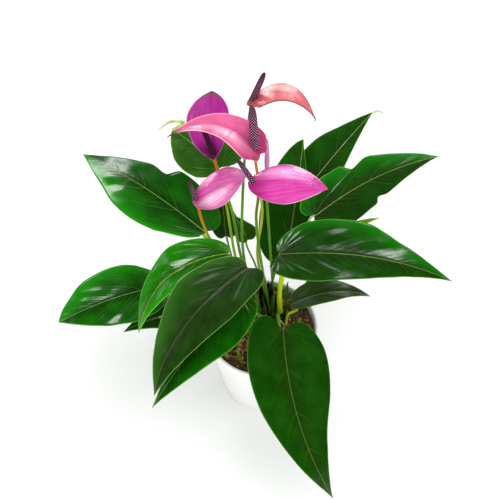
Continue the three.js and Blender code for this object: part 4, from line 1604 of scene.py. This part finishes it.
@dataclass(frozen=True)
class Lamp:
    """A soft box that points at the plant, in metres and watts.

    A mirrored one only shows in glossy surfaces, and any other one only lights.
    """

    name: str
    aim: Triple
    distance: float
    size: Pair
    power: float
    mirrored: bool = False

    def hang(self, target: Vector) -> None:
        """Hangs it and points it.

        Args:
            target: What it points at, in metres.
        """
        lamp = bpy.data.lights.new(self.name, "AREA")
        lamp.shape = "RECTANGLE"
        lamp.size, lamp.size_y = self.size
        lamp.energy = self.power
        holder = bpy.data.objects.new(self.name, lamp)
        holder.location = Vector(self.aim).normalized() * self.distance + target
        holder.visible_glossy = self.mirrored
        holder.visible_diffuse = not self.mirrored
        holder.rotation_euler = (target - holder.location).to_track_quat("-Z", "Y").to_euler()
        bpy.context.scene.collection.objects.link(holder)


@dataclass
class Studio:
    """A pale floor, soft lights and the camera at the photograph's angle.

    The camera stands in millimetres and tilts from straight down in degrees. The floor's half side and
    the target of the lamps are in metres.
    """

    camera_place: Triple = (-12.8, -575.0, 1095.9)
    camera_tilt: float = 34.31
    lens: float = 77.4
    sensor: float = 36.0
    floor_size: float = 3.0
    sky: float = 0.14
    target: Triple = (0.0, 0.0, 0.2)
    lamps: tuple[Lamp, ...] = (
        Lamp("top_panel", (0.0, 0.05, 1.0), 2.0, (3.0, 3.0), 66.0),
        Lamp("back_left_strip", (-0.5, 0.72, 0.46), 1.7, (0.9, 0.28), 17.0, True),
        Lamp("back_right_strip", (0.42, 0.78, 0.46), 1.7, (0.8, 0.28), 13.0, True),
        Lamp("back_spot", (0.12, 0.76, 0.62), 1.7, (0.3, 0.1), 1.8, True),
        Lamp("left_strip", (-0.93, 0.1, 0.36), 1.6, (0.8, 0.25), 2.5, True),
        Lamp("front_panel", (-0.2, -0.9, 0.4), 2.0, (2.4, 1.2), 26.0),
        Lamp("back_panel", (0.1, 0.9, 0.4), 2.0, (2.4, 1.2), 12.0),
        Lamp("right_panel", (0.92, -0.15, 0.36), 2.0, (1.4, 1.0), 12.0),
    )

    def lay_floor(self) -> None:
        """Lays the floor."""
        mesh = bmesh.new()
        bmesh.ops.create_grid(mesh, x_segments=2, y_segments=2, size=self.floor_size)
        data = bpy.data.meshes.new("floor")
        mesh.to_mesh(data)
        mesh.free()
        graph = Graph("floor_pale")
        colour = graph.blend(graph.noise(3.0), (245, 245, 245), (248, 248, 248))
        data.materials.append(graph.finish(base_color=colour, roughness=0.9))
        floor = bpy.data.objects.new("floor", data)
        bpy.context.scene.collection.objects.link(floor)

    def light(self) -> None:
        """Hangs the lamps and lights the sky, which glossy surfaces don't mirror."""
        for lamp in self.lamps:
            lamp.hang(Vector(self.target))
        world = bpy.data.worlds.new("studio")
        world.use_nodes = True
        back = world.node_tree.nodes["Background"]
        back.inputs["Color"].default_value = (1.0, 1.0, 1.0, 1.0)
        back.inputs["Strength"].default_value = self.sky
        world.cycles_visibility.glossy = False
        bpy.context.scene.world = world
        bpy.context.scene.view_settings.view_transform = "Standard"

    def set_camera(self) -> None:
        """Sets up the camera."""
        data = bpy.data.cameras.new("camera")
        data.sensor_width = self.sensor
        data.lens = self.lens
        data.clip_end = 20.0
        camera = bpy.data.objects.new("camera", data)
        camera.location = Vector(self.camera_place) * MM
        camera.rotation_euler = (math.radians(self.camera_tilt), 0.0, 0.0)
        bpy.context.scene.collection.objects.link(camera)
        bpy.context.scene.camera = camera

    def build(self) -> None:
        """Makes the whole studio."""
        self.lay_floor()
        self.light()
        self.set_camera()


def main() -> None:
    """Builds the plant, its pot and the studio."""
    logging.basicConfig(level=logging.INFO, format="%(name)s %(message)s")
    for thing in (Pot(), Soil(), *LEAVES, *BLOOMS, Crown(), Studio()):
        thing.build()


if __name__ == "__main__":
    main()
